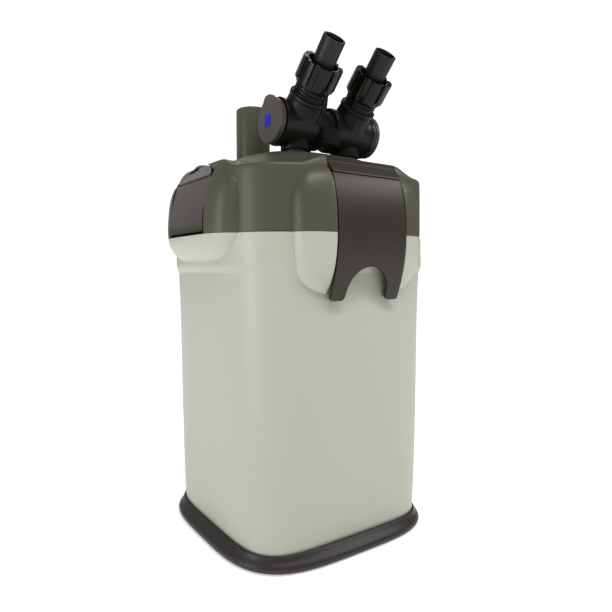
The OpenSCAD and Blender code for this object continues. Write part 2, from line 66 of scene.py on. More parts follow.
# ---------------------------------------------------------------- places from the frame

def low(node):
    """Lowest corner of a CAD node, in millimetres."""
    return np.array(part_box(node)[0]) / MM


def high(node):
    """Highest corner of a CAD node, in millimetres."""
    return np.array(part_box(node)[1]) / MM


def middle(node):
    return (low(node) + high(node)) / 2


SEAM = high("canister")[2]              # joint between canister and head
CREST = high("canister")[0]             # middle to the crest of each boss
DECK = high("head_cover")[2]            # top of the raised deck
PRIMER = middle("primer_collar")        # axis of the plunger
PLUNGER_TOP = high("primer_plunger")[2]
CORE = middle("left_valve_core")
BLOCK = middle("tap_block")[0]          # middle of the tap block on X
BARREL = np.array([BLOCK, CORE[1], CORE[2]])
TAP_HALF = BLOCK - middle("left_hose_tail")[0]
CLIP_HALF = high("front_clip")[0]
CLIP_FOOT = low("front_clip")[2]
PIN = np.array([0, middle("front_clip_pin")[1], middle("front_clip_pin")[2]])
BOW = 120.0                             # radius of the bowed faces
BOSS_TOP = high("front_clip")[2]
SIDES = ((-1, "left"), (1, "right"))    # the two taps and hose connectors
CLIPPED = ("front", "rear")             # the bosses that carry a clip
HOOK_HALF = 20.0                        # half width of the clip's hook and of its lug
PAD_SPOT = 62.0                         # middle of each foot pad on X and Y
LEVER_LENGTH = 28.0
LEVER_LEAN = math.radians(14)
KNOB_FACE = 47.2                        # outer face of a knob, from the middle of the block
SPIGOT_BORE, NUT_BORE = 6.6, 12.3
FLANGE_STEPS = 6                        # rows up the sloping flange of a clip or panel


# ---------------------------------------------------------------- mesh tools

def new_object(name, mesh):
    obj = bpy.data.objects.new(name, mesh)
    bpy.context.scene.collection.objects.link(obj)
    return obj


def solid(name, points, faces):
    """A mesh object from points in millimetres."""
    mesh = bpy.data.meshes.new(name)
    mesh.from_pydata((np.asarray(points, float) * MM).tolist(), [], faces)
    mesh.validate()
    return new_object(name, mesh)


def loft(name, rows):
    """A closed solid through rows of points, capped at both ends. Rows run upwards and each
    runs anticlockwise, seen from above."""
    rows = np.asarray(rows, float)
    count, around = rows.shape[:2]
    faces = []
    for r in range(count - 1):
        a, b = r * around, (r + 1) * around
        faces += [(a + c, a + (c + 1) % around, b + (c + 1) % around, b + c) for c in range(around)]
    faces.append(tuple(range(around - 1, -1, -1)))
    faces.append(tuple((count - 1) * around + c for c in range(around)))
    return solid(name, rows.reshape(-1, 3), faces)


def sheet(name, rows):
    """An open grid of points."""
    rows = np.asarray(rows, float)
    count, across = rows.shape[:2]
    faces = [(r * across + c, r * across + c + 1, (r + 1) * across + c + 1, (r + 1) * across + c)
             for r in range(count - 1) for c in range(across - 1)]
    return solid(name, rows.reshape(-1, 3), faces)


def rounded(corners, closed=True, steps=4):
    """Points of an outline whose corners (x, y, radius) are rounded."""
    out, count = [], len(corners)
    for i, (x, y, radius) in enumerate(corners):
        if radius <= 0 or (not closed and i in (0, count - 1)):
            out.append((x, y))
            continue
        p = np.array((x, y), float)
        a = np.array(corners[i - 1][:2], float) - p
        b = np.array(corners[(i + 1) % count][:2], float) - p
        long_a, long_b = np.linalg.norm(a), np.linalg.norm(b)
        a, b = a / long_a, b / long_b
        half = math.acos(max(-1.0, min(1.0, float(a @ b)))) / 2
        cut = min(radius / math.tan(half), 0.49 * long_a, 0.49 * long_b)
        r = cut * math.tan(half)
        centre = p + (a + b) / np.linalg.norm(a + b) * (r / math.sin(half))
        start, end = p + a * cut - centre, p + b * cut - centre
        turn = math.atan2(start[0] * end[1] - start[1] * end[0], float(start @ end))
        for k in range(steps + 1):
            t = turn * k / steps
            out.append((centre[0] + start[0] * math.cos(t) - start[1] * math.sin(t),
                        centre[1] + start[0] * math.sin(t) + start[1] * math.cos(t)))
    return out


def turned(name, outline, at=(0, 0, 0), turn=None, around=96):
    """A solid of revolution. The outline holds (radius, height) points, anticlockwise, and
    starts and ends on the axis, or is a closed loop that stays off it."""
    tiny = 1e-6
    pts = [p for i, p in enumerate(outline)
           if i == 0 or np.hypot(*(np.subtract(p, outline[i - 1]))) > tiny]
    ring = pts[0][0] > tiny
    angle = np.arange(around) * TURN / around
    body = pts if ring else pts[1:-1]
    rows = np.array([[(r * math.cos(a), r * math.sin(a), z) for a in angle] for r, z in body])
    count = len(body)
    verts = rows.reshape(-1, 3)
    faces = []
    for k in range(count if ring else count - 1):
        a, b = k * around, (k + 1) % count * around
        faces += [(a + c, a + (c + 1) % around, b + (c + 1) % around, b + c) for c in range(around)]
    if not ring:
        verts = np.vstack([verts, [(0, 0, pts[0][1]), (0, 0, pts[-1][1])]])
        foot, top, last = len(verts) - 2, len(verts) - 1, (count - 1) * around
        faces += [(foot, (c + 1) % around, c) for c in range(around)]
        faces += [(top, last + c, last + (c + 1) % around) for c in range(around)]
    if turn is not None:
        verts = verts @ np.array(turn).T
    return solid(name, verts + np.array(at), faces)


def drum(radius, z0, z1, edge=0.0, bore=0.0):
    """Outline of a disc or tube with rounded edges, for turned()."""
    if bore:
        return rounded([(bore, z0, edge), (radius, z0, edge), (radius, z1, edge), (bore, z1, edge)])
    return rounded([(0, z0, 0), (radius, z0, edge), (radius, z1, edge), (0, z1, 0)], closed=False)


def block(lo, hi):
    """A plain box, used only as a cutting tool."""
    x, y, z = zip(lo, hi)
    points = [(x[i], y[j], z[k]) for k in (0, 1) for i, j in ((0, 0), (1, 0), (1, 1), (0, 1))]
    sides = [(0, 1, 5, 4), (1, 2, 6, 5), (2, 3, 7, 6), (3, 0, 4, 7)]
    return solid("tool", points, [(3, 2, 1, 0), (4, 5, 6, 7), *sides])


def prism(outline, axis, start, end, name="tool"):
    """An outline pushed along an axis. On X it holds (y, z), on Y (x, z), on Z (x, y)."""
    flat = np.array(outline, float)
    area = np.sum(flat[:, 0] * np.roll(flat[:, 1], -1) - np.roll(flat[:, 0], -1) * flat[:, 1])
    rows = []
    for v in (start, end):
        rows.append(np.insert(flat, axis, v, axis=1))
    if (area < 0) != (axis == 1):
        rows = [r[::-1] for r in rows]
    return loft(name, rows)


def freeze(obj):
    """Applies an object's modifiers."""
    graph = bpy.context.evaluated_depsgraph_get()
    mesh = bpy.data.meshes.new_from_object(obj.evaluated_get(graph))
    obj.modifiers.clear()
    old, obj.data = obj.data, mesh
    bpy.data.meshes.remove(old)
    if not len(mesh.vertices):
        raise RuntimeError(f"{obj.name} has no mesh left")
    return obj


def combine(obj, operation, tools):
    for tool in tools:
        change = obj.modifiers.new("shape", "BOOLEAN")
        change.solver, change.operation, change.object = "MANIFOLD", operation, tool
    freeze(obj)
    for tool in tools:
        bpy.data.meshes.remove(tool.data)
    return obj


def cut(obj, *tools):
    return combine(obj, "DIFFERENCE", tools)


def join(obj, *parts):
    return combine(obj, "UNION", parts)


def keep(obj, *tools):
    return combine(obj, "INTERSECT", tools)


def shift(obj, matrix):
    obj.data.transform(matrix)
    return obj


def moved(obj, place, turn=Matrix.Identity(4)):
    """Turns a shape about the origin, then moves it to a place in millimetres."""
    return shift(obj, Matrix.Translation(Vector(place) * MM) @ turn)


def thicken(obj, wall, even):
    """Gives a sheet its wall, behind the drawn face."""
    change = obj.modifiers.new("wall", "SOLIDIFY")
    change.thickness, change.offset, change.use_even_offset = wall, -1.0, even


def bevel(obj, width, segments=3, angle=60.0):
    """Rounds the sharp edges of a piece and applies all its modifiers."""
    change = obj.modifiers.new("edge", "BEVEL")
    change.width, change.segments = width, segments
    change.limit_method, change.angle_limit = "ANGLE", math.radians(angle)
    return freeze(obj)


def face_turn(side):
    """Turns a shape drawn for the front to the front, right, rear or left."""
    return Matrix.Rotation({"front": 0, "right": 0.5, "rear": 1, "left": -0.5}[side] * math.pi, 4, "Z")


def ease(value, start, end):
    """Smooth step from 0 to 1 between two values."""
    t = np.clip((np.asarray(value, float) - start) / (end - start), 0, 1)
    return t * t * (3 - 2 * t)


def finish_piece(obj, body, slot, replaced=(), angle=40.0):
    """Shading, finish and place in the assembly of one visible piece."""
    obj.data.materials.clear()
    obj.data.materials.append(finish(slot))
    obj.data.shade_smooth()
    obj.data.set_sharp_from_angle(angle=math.radians(angle))
    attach(obj, body)
    if replaced:
        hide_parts(*replaced)
    return obj


# ---------------------------------------------------------------- node tools

class Wire:
    """An output socket of a node tree. Arithmetic on it adds Math nodes."""

    def __init__(self, desk, socket):
        self.desk, self.socket = desk, socket

    def _math(self, operation, *values):
        return self.desk.make("ShaderNodeMath", {"operation": operation}, *values)[0]

    def __add__(self, other): return self._math("ADD", self, other)
    def __radd__(self, other): return self._math("ADD", other, self)
    def __sub__(self, other): return self._math("SUBTRACT", self, other)
    def __rsub__(self, other): return self._math("SUBTRACT", other, self)
    def __mul__(self, other): return self._math("MULTIPLY", self, other)
    def __rmul__(self, other): return self._math("MULTIPLY", other, self)

    def ramp(self, start, end, low_value=0.0, high_value=1.0):
        """Smooth step between two levels."""
        return self.desk.make("ShaderNodeMapRange", {"interpolation_type": "SMOOTHSTEP"},
                              self, start, end, low_value, high_value)[0]


class Desk:
    """Adds nodes to one tree: settings first, then values or links of the inputs."""

    def __init__(self, tree):
        self.tree = tree

    def make(self, kind, settings=None, *values, **named):
        node = self.tree.nodes.new(kind)
        for key, value in (settings or {}).items():
            if key == "stops":
                ramp = node.color_ramp
                while len(ramp.elements) > 1:
                    ramp.elements.remove(ramp.elements[0])
                ramp.elements[0].position, ramp.elements[0].color = value[0]
                for position, colour in value[1:]:
                    ramp.elements.new(position).color = colour
            else:
                setattr(node, key, value)
        shown = [s for s in node.inputs if s.enabled]
        for socket, value in zip(shown, values):
            self.put(socket, value)
        for key, value in named.items():
            self.put(next(s for s in shown if s.name.replace(" ", "_").lower() == key.lower()), value)
        return [Wire(self, s) for s in node.outputs if s.enabled]

    def put(self, socket, value):
        if value is None:
            return
        if isinstance(value, Wire):
            self.tree.links.new(value.socket, socket)
        else:
            socket.default_value = value


def rgba(colour, factor=1.0):
    return tuple(min(1.0, c * factor) for c in colour[:3]) + (1.0,)


class Finish(Desk):
    """A procedural material on Object coordinates."""

    def __init__(self, name):
        self.material = bpy.data.materials.new(name)
        self.material.use_nodes = True
        super().__init__(self.material.node_tree)
        self.tree.nodes.clear()
        self.object_place = self.make("ShaderNodeTexCoord")[3]

    def noise(self, scale, detail=3.0, roughness=0.5, stretch=None):
        place = self.object_place
        if stretch:
            place = self.make("ShaderNodeMapping", None, place, scale=stretch)[0]
        return self.make("ShaderNodeTexNoise", None, place, scale=scale, detail=detail,
                         roughness=roughness)[0]

    def cells(self, scale, place=None):
        return self.make("ShaderNodeTexVoronoi", None, place or self.object_place, scale=scale)[0]

    def mix(self, factor, first, second):
        return self.make("ShaderNodeMix", {"data_type": "RGBA"}, factor, first, second)[0]

    def bump(self, height, strength, distance, below=None):
        return self.make("ShaderNodeBump", None, strength=strength, distance=distance,
                         height=height, normal=below)[0]

    def close(self, colour, roughness, normal, **constants):
        """Principled shader: varying signals by link, the rest as values on its sockets."""
        shader = self.make("ShaderNodeBsdfPrincipled", None, base_color=colour, roughness=roughness,
                           normal=normal, **constants)[0]
        self.make("ShaderNodeOutputMaterial", None, surface=shader)
        return self.material


def moulded(name, colour, roughness, grain=0.25, grain_scale=2600.0, flow=0.06, coat=0.0,
            marks=0.02, shine=0.5):
    """Injection-moulded plastic: fine spark-eroded grain, slow colour drift and faint rubbing."""
    f = Finish(name)
    drift = f.noise(9.0, 3.0)
    cloud = f.noise(34.0, 4.0, 0.6)
    fine = f.noise(grain_scale, 2.0, 0.6)
    rub = f.noise(120.0, 5.0, 0.7, (1.0, 1.0, 0.12)).ramp(0.56, 0.74)
    tone = (drift - 0.5) * (2.2 * flow) + (cloud - 0.5) * flow + rub * marks + 0.5
    shade = f.mix(tone, rgba(colour, 1 - 3 * flow), rgba(colour, 1 + 3 * flow))
    rough = (fine - 0.5) * 0.10 + (cloud - 0.5) * 0.12 + rub * 0.10 + roughness
    waves = f.bump(f.noise(70.0, 2.0), 0.10, 0.0004)
    normal = f.bump(fine, grain, 0.00004, waves)
    return f.close(shade, rough, normal, coat_weight=coat, coat_roughness=0.08, specular_ior_level=shine)


def polished(name, colour, roughness=0.14, flow=0.05, coat=0.6, shine=0.5):
    """Glossy plastic with fine hairline scratches and a trace of dust."""
    f = Finish(name)
    cloud = f.noise(26.0, 4.0, 0.6)
    dust = f.noise(900.0, 3.0, 0.7).ramp(0.66, 0.78)
    hair = f.noise(420.0, 2.0, 0.5, (1.0, 0.03, 1.0)).ramp(0.60, 0.72)
    tone = (cloud - 0.5) * 2 * flow + dust * 0.10 + 0.5
    shade = f.mix(tone, rgba(colour, 1 - 3 * flow), rgba(colour, 1 + 3 * flow))
    rough = (cloud - 0.5) * 0.10 + hair * 0.12 + dust * 0.15 + roughness
    normal = f.bump(hair, 0.05, 0.00003, f.bump(f.noise(60.0, 2.0), 0.08, 0.0004))
    return f.close(shade, rough, normal, coat_weight=coat, coat_roughness=0.05, specular_ior_level=shine)


def rubber(name, colour, roughness=0.6):
    """Rubber: matt, with a dusty bloom and tiny pits."""
    f = Finish(name)
    bloom = f.noise(60.0, 4.0, 0.65).ramp(0.45, 0.75)
    pits = f.cells(1500.0)
    shade = f.mix(bloom * 0.35, rgba(colour), rgba(colour, 2.2))
    return f.close(shade, bloom * 0.15 + roughness, f.bump(pits, 0.2, 0.00005))


def metal(name, colour, roughness, stretch, scale=500.0, bump=0.15):
    """Drawn or wound metal: streaks along one way, spots of tarnish."""
    f = Finish(name)
    streak = f.noise(scale, 3.0, 0.6, stretch)
    spot = f.noise(45.0, 4.0, 0.6).ramp(0.5, 0.8)
    shade = f.mix(streak * 0.6 + spot * 0.4, rgba(colour, 1.1), rgba(colour, 0.72))
    rough = streak * 0.18 + spot * 0.12 + roughness
    return f.close(shade, rough, f.bump(streak, bump, 0.00005), metallic=1.0)


def porous(name, colour, scale, depth, roughness=0.85, pit_shade=0.45):
    """Foam, floss or sintered ceramic: open cells whose pits are darkened by painted shade."""
    f = Finish(name)
    place = f.make("ShaderNodeVectorMath", {"operation": "ADD"}, f.object_place,
                   f.make("ShaderNodeTexNoise", None, f.object_place, scale=scale * 0.5)[1])[0]
    # depth of the cells: it sinks their pits by bump and also sets the painted shade in them
    cell = f.cells(scale, place=place)
    deep = cell.ramp(0.1, 0.75)
    drift = f.noise(24.0, 3.0)
    # painted shade: the pits of the cells darken to a fraction of the colour, and the struts between them
    # stay lighter
    shade = f.mix(deep * 0.8 + (drift - 0.5) * 0.4, rgba(colour, pit_shade), rgba(colour, 1.1))
    return f.close(shade, (drift - 0.5) * 0.15 + roughness, f.bump(deep, 0.7, depth))


# ---------------------------------------------------------------- geometry node trees

def shape_tree(name, inputs):
    """A geometry node group with named inputs, and the desk that builds it."""
    tree = bpy.data.node_groups.new(name, "GeometryNodeTree")
    tree.interface.new_socket(name="Geometry", in_out="OUTPUT", socket_type="NodeSocketGeometry")
    ids = {}
    for label, kind, value in inputs:
        item = tree.interface.new_socket(name=label, in_out="INPUT", socket_type=kind)
        if value is not None:
            item.default_value = value
        ids[label] = item.identifier
    desk = Desk(tree)
    wires = dict(zip(ids, desk.make("NodeGroupInput")))
    return tree, desk, wires, ids


def close_tree(desk, shape, wires):
    real = desk.make("GeometryNodeRealizeInstances", None, shape)[0]
    coated = desk.make("GeometryNodeSetMaterial", None, real, material=wires["Material"])[0]
    desk.make("NodeGroupOutput", None, coated)


def bars_tree():
    """Rounded bars that stand on a circle or step along a line."""
    tree, d, w, ids = shape_tree("repeated_bars", [
        ("Count", "NodeSocketInt", 8), ("Width", "NodeSocketFloat", 0.006),
        ("Depth", "NodeSocketFloat", 0.002),
        ("Edge", "NodeSocketFloat", 0.0004), ("Length", "NodeSocketVector", (0.0, 0.0, 0.01)),
        ("Radius", "NodeSocketFloat", 0.0), ("Step", "NodeSocketVector", (0.0, 0.0, 0.0)),
        ("Turn", "NodeSocketFloat", 0.0), ("Material", "NodeSocketMaterial", None)])
    line = d.make("GeometryNodeCurvePrimitiveLine", {"mode": "POINTS"}, end=w["Length"])[0]
    face = d.make("GeometryNodeCurvePrimitiveQuadrilateral", {"mode": "RECTANGLE"}, w["Width"], w["Depth"])[0]
    face = d.make("GeometryNodeFilletCurve", {"mode": "POLY"}, face, count=3, radius=w["Edge"],
                  limit_radius=True)[0]
    bar = d.make("GeometryNodeCurveToMesh", None, line, face, fill_caps=True)[0]
    points = d.make("GeometryNodePoints", None, w["Count"])[0]
    index = d.make("GeometryNodeInputIndex")[0]
    angle = index * w["Turn"]
    x, y = (d.make("ShaderNodeMath", {"operation": wave}, angle)[0] * w["Radius"]
            for wave in ("COSINE", "SINE"))
    around = d.make("ShaderNodeCombineXYZ", None, x, y, 0.0)[0]
    along = d.make("ShaderNodeVectorMath", {"operation": "SCALE"}, w["Step"], scale=index)[0]
    place = d.make("ShaderNodeVectorMath", {"operation": "ADD"}, around, along)[0]
    points = d.make("GeometryNodeSetPosition", None, points, position=place)[0]
    turn = d.make("ShaderNodeCombineXYZ", None, 0.0, 0.0, angle)[0]
    spread = d.make("GeometryNodeInstanceOnPoints", None, points, instance=bar, rotation=turn)[0]
    close_tree(d, spread, w)
    return tree, ids


def thread_tree():
    """A round-crested screw thread."""
    tree, d, w, ids = shape_tree("screw_thread", [
        ("Turns", "NodeSocketFloat", 3.0), ("Radius", "NodeSocketFloat", 0.012),
        ("Height", "NodeSocketFloat", 0.008),
        ("Crest", "NodeSocketFloat", 0.0006), ("Material", "NodeSocketMaterial", None)])
    line = d.make("GeometryNodeCurveSpiral", None, 64, w["Turns"], w["Radius"], w["Radius"], w["Height"])[0]
    face = d.make("GeometryNodeCurvePrimitiveCircle", {"mode": "RADIUS"}, resolution=8, radius=w["Crest"])[0]
    close_tree(d, d.make("GeometryNodeCurveToMesh", None, line, face, fill_caps=True)[0], w)
    return tree, ids


def grown(name, tree, ids, values):
    """Runs a geometry node group and returns its result as a plain mesh object."""
    obj = new_object(name, bpy.data.meshes.new(name))
    change = obj.modifiers.new("shape", "NODES")
    change.node_group = tree
    for label, value in values.items():
        change[ids[label]] = value
    return freeze(obj)


# ---------------------------------------------------------------- outlines of the shells

AROUND = 320
ANGLES = np.arange(AROUND) * TURN / AROUND


def outline(half, squareness, z, angles=ANGLES):
    """A rounded square of half width half: squareness 2 is a circle, more is squarer."""
    c, s = np.cos(angles), np.sin(angles)
    r = half / (np.abs(c) ** squareness + np.abs(s) ** squareness) ** (1 / squareness)
    return np.stack([r * c, r * s, np.broadcast_to(z, r.shape)], 1)


def smooth_min(a, b, width):
    """The smaller of two values, blended where they are closer than a width."""
    h = np.clip(width - np.abs(a - b), 0, None) / width
    return np.minimum(a, b) - h * h * width / 4


FLANGE = np.array([[92.4, 278.0], [84.0, BOSS_TOP]])     # sloping flange: (outward, height) at its ends
CHEEK_SLOPE = np.array([[96.0, 278.5], [85.5, BOSS_TOP]])
CHEEK_BOW = 190.0                       # the cheeks beside clips and panels bow less


def bow_face(z, soft=4.0, radius=BOW, slope=FLANGE):
    """Distance of the bowed face from the middle at a height."""
    z = np.asarray(z, float)
    arc = CREST - radius + np.sqrt(radius ** 2 - (z - SEAM) ** 2)
    (o0, z0), (o1, z1) = slope
    return smooth_min(arc, o0 + (z - z0) * (o1 - o0) / (z1 - z0), soft)


def cheek_face(z):
    """The face of a boss: it follows the clip below the seam and stands proud of it above."""
    return np.where(np.asarray(z) < SEAM, bow_face(z), bow_face(z, 5.0, CHEEK_BOW, CHEEK_SLOPE))


# half width, lowest, highest, squareness of the outline, roundness of the edge
BOSSES = {side: (58.5, 187.0, 291.0, 3.6, 4.5) if side in CLIPPED else (58.5, 213.5, 291.0, 3.6, 4.0)
          for side in ("front", "rear", "left", "right")}
BOSS_BACK = 60.0


def boss_rho(lat, z, spec):
    """How far a point of a boss is from its middle, 0, towards its outline, 1."""
    half, foot, top, square, _ = spec
    up, mid = (top - foot) / 2, (top + foot) / 2
    return (np.abs(lat / half) ** square + np.abs((z - mid) / up) ** square) ** (1 / square)


def boss_out(lat, z, spec):
    """Distance of a boss's pillow face from the middle."""
    rho = np.clip(boss_rho(lat, z, spec), 0, 1)
    swell = (1 - rho ** spec[4]) ** (1 / spec[4])
    return BOSS_BACK + (cheek_face(z) - BOSS_BACK) * swell


def boss_solid(side):
    """A whole boss as a closed pillow, in rows that shrink from its outline to its crest."""
    spec = BOSSES[side]
    half, foot, top, square, _ = spec
    up, mid = (top - foot) / 2, (top + foot) / 2
    t = np.arange(256) * TURN / 256
    c, s = np.cos(t), np.sin(t)
    r = 1 / (np.abs(c / half) ** square + np.abs(s / up) ** square) ** (1 / square)
    levels = [1, 0.997, 0.99, 0.98, 0.97, 0.96, 0.95, 0.94, 0.93, 0.915, 0.9, 0.88, 0.86, 0.83,
              0.8, 0.76, 0.72, 0.66, 0.6, 0.52, 0.44, 0.36, 0.28, 0.2, 0.12, 0.05]
    rows = []
    for level in levels:
        lat, z = level * r * c, mid + level * r * s
        rows.append(np.stack([lat, -boss_out(lat, z, spec), z], 1))
    return shift(loft("boss", rows), face_turn(side))


SLOT_HALF = CLIP_HALF + 0.6


def slot_tool(side, foot, top):
    """Cutter for the room between the cheeks of a boss, flared where it meets their faces."""
    spec, rows = BOSSES[side], []
    edge, wide = 0.9, SLOT_HALF + 4.0
    flare = [(edge * (1 - math.cos(a)), -edge + edge * math.sin(a))
             for a in np.linspace(0, math.pi / 2 * 0.94, 5)]
    for z in np.arange(foot, top + 0.01, 1.5):
        face = float(boss_out(SLOT_HALF, z, spec))
        right = [(SLOT_HALF, 50.0)] + [(SLOT_HALF + dx, face + dy) for dx, dy in flare]
        right += [(wide, face + 0.3), (wide, 120.0)]
        ring = [(x, -y, z) for x, y in right] + [(-x, -y, z) for x, y in reversed(right)]
        rows.append(ring[::-1])
    return shift(loft("tool", rows), face_turn(side))


def flange_tool(side):
    """Cutter for the flange's room behind the face of the head."""
    (o0, z0), (o1, z1) = FLANGE
    deep = 3.7
    top = -(o1 - 1.25 * deep)
    pts = [(-89.3, 230), (-89.3, z0 - 3), (-(o0 - deep), z0), (top, z1), (top + 3, z1 + 6),
           (-120, z1 + 6), (-120, 230)]
    return shift(prism(pts, 0, -SLOT_HALF, SLOT_HALF), face_turn(side))


def boss_part(side, bottom, top):
    """The stretch of a boss between two heights, with the room of its clip cut out."""
    boss = boss_solid(side)
    if side in CLIPPED:
        cut(boss, slot_tool(side, 180, 296))
    return keep(boss, block((-110, -110, bottom), (110, 110, top)))


def canister_ring(z, inset=0.0):
    """Outline of the canister at a height, set in by a wall for its inside."""
    half = 80.5 + (z - 5) * 6.2 / 204 + 1.6 * ease(z, 207.5, 215.0) + 0.6 * ease(z, 214, SEAM)
    square = 5.2 - 1.3 * ease(z, 12, 209) - 0.4 * ease(z, 209, SEAM)
    return outline(half - inset, square, z)


def rod_tool(radius, at, axis, start, end, around=64):
    """A round rod along an axis, through a point of the plane across it."""
    angle = np.arange(around) * TURN / around
    pts = np.stack([at[0] + radius * np.cos(angle), at[1] + radius * np.sin(angle)], 1)
    return prism(pts, axis, start, end)


# ---------------------------------------------------------------- settings

def colour_setting(name, text, value):
    return FloatVectorProperty(name=name, description=text, subtype="COLOR", size=3, min=0, max=1,
                               default=value)


def size_setting(name, text, value):
    return FloatProperty(name=name, description=text, default=value, unit="LENGTH", subtype="DISTANCE")


class FilterFinishes(bpy.types.PropertyGroup):
    body: colour_setting("Body", "Moulded plastic of the canister", (0.414, 0.398, 0.396))
    head: colour_setting("Head", "Moulded plastic of the head", (0.084, 0.083, 0.063))
    clip: colour_setting("Clip", "Plastic of the two long clips", (0.036, 0.032, 0.029))
    panel: colour_setting("Panel", "Glossy plastic of the side panels", (0.030, 0.026, 0.023))
    foot: colour_setting("Foot", "Plastic of the foot skirt", (0.036, 0.032, 0.032))
    tap: colour_setting("Taps", "Plastic of the tap block", (0.0075, 0.0072, 0.0065))
    knob: colour_setting("Knobs", "Plastic of the tap knobs", (0.066, 0.060, 0.066))
    nut: colour_setting("Nuts", "Plastic of the hose nuts", (0.0022, 0.0018, 0.0014))
    tail: colour_setting("Hose tails", "Plastic of the hose tails", (0.018, 0.016, 0.014))
    mark: colour_setting("Flow marks", "Printed marks on the knobs", (0.010, 0.010, 0.60))


class FilterSizes(bpy.types.PropertyGroup):
    wall: size_setting("Wall", "Thickness of the shells", 0.003)
    edge: size_setting("Edge", "Rounding of the edges of clips and panels", 0.0005)
    clip_wall: size_setting("Clip", "Thickness of a clip", 0.0026)
    panel_wall: size_setting("Panel", "Thickness of a side panel", 0.0032)
    nut_ribs: IntProperty(name="Nut ribs", description="Ribs around each hose nut", default=8, min=4, max=24)
    lever_ridges: IntProperty(name="Lever ridges", description="Grip ridges on the lever", default=4,
                              min=1, max=12)


class FilterSettings(bpy.types.PropertyGroup):
    finishes: PointerProperty(name="Finishes", description="Colours of the materials", type=FilterFinishes)
    sizes: PointerProperty(name="Sizes", description="Sizes of the details", type=FilterSizes)


def settings():
    return bpy.context.scene.canister_filter


def finish(name):
    """A finish by its slot name, made on first use."""
    found = bpy.data.materials.get(name)
    if found:
        return found
    c = settings().finishes
    makers = {
        "canister_grey": lambda: moulded(name, c.body, 0.30, grain=0.05, flow=0.012, coat=0.15),
        "head_olive": lambda: moulded(name, c.head, 0.20, grain=0.02, flow=0.02, coat=0.6, shine=0.4),
        "clip_charcoal": lambda: moulded(name, c.clip, 0.26, grain=0.03, flow=0.03, coat=0.35, shine=0.4),
        "panel_gloss": lambda: polished(name, c.panel, 0.10, 0.04, 0.3, 0.4),
        "foot_dark": lambda: moulded(name, c.foot, 0.22, grain=0.03, flow=0.04, coat=0.6, shine=0.4),
        "tap_dark": lambda: moulded(name, c.tap, 0.36, grain=0.25, grain_scale=1500.0, flow=0.05,
                                    marks=0.2, shine=0.12),
        "knob_grey": lambda: moulded(name, c.knob, 0.34, grain=0.15, flow=0.03, shine=0.4),
        "nut_black": lambda: polished(name, c.nut, 0.10, 0.08, 0.0, 0.15),
        "tail_dark": lambda: moulded(name, c.tail, 0.36, grain=0.20, flow=0.05, shine=0.3),
        "lever_dark": lambda: moulded(name, (0.05, 0.05, 0.04), 0.42, grain=0.35, grain_scale=900.0,
                                      flow=0.06),
        "label_black": lambda: rubber(name, (0.0015, 0.0015, 0.0015), 0.75),
        "mark_blue": lambda: moulded(name, c.mark, 0.35, grain=0.10, flow=0.03),
        "rubber_black": lambda: rubber(name, (0.015, 0.015, 0.015)),
        "seal_rubber": lambda: rubber(name, (0.03, 0.03, 0.03), 0.5),
        "inner_black": lambda: moulded(name, (0.022, 0.022, 0.022), 0.45, grain=0.25, flow=0.05),
        "inner_grey": lambda: moulded(name, (0.10, 0.10, 0.10), 0.45, grain=0.25, flow=0.04),
        "white_plastic": lambda: moulded(name, (0.70, 0.70, 0.66), 0.35, grain=0.10, flow=0.02),
        "steel": lambda: metal(name, (0.62, 0.61, 0.60), 0.18, (0.06, 1.0, 1.0)),
        "copper_coil": lambda: metal(name, (0.72, 0.36, 0.17), 0.25, (0.05, 0.05, 1.0), 1800.0, 0.8),
        "magnet": lambda: metal(name, (0.09, 0.09, 0.10), 0.45, (1.0, 1.0, 1.0), 900.0),
        "ceramic_white": lambda: porous(name, (0.78, 0.72, 0.60), 1800.0, 0.00015, 0.8, 0.7),
        "foam_blue": lambda: porous(name, (0.020, 0.055, 0.20), 700.0, 0.0008, 0.9, 0.3),
        "floss_white": lambda: porous(name, (0.82, 0.82, 0.78), 1400.0, 0.0005, 0.95, 0.7),
        "ball_blue": lambda: polished(name, (0.03, 0.10, 0.34), 0.3, 0.05, 0.2),
        "gland_grey": lambda: rubber(name, (0.16, 0.155, 0.14), 0.5),
    }
    return makers[name]()


# ---------------------------------------------------------------- operators

class Step(bpy.types.Operator):
    """One stage of the build."""
    bl_options = {"REGISTER", "UNDO"}

    def execute(self, context):
        self.build()
        return {"FINISHED"}


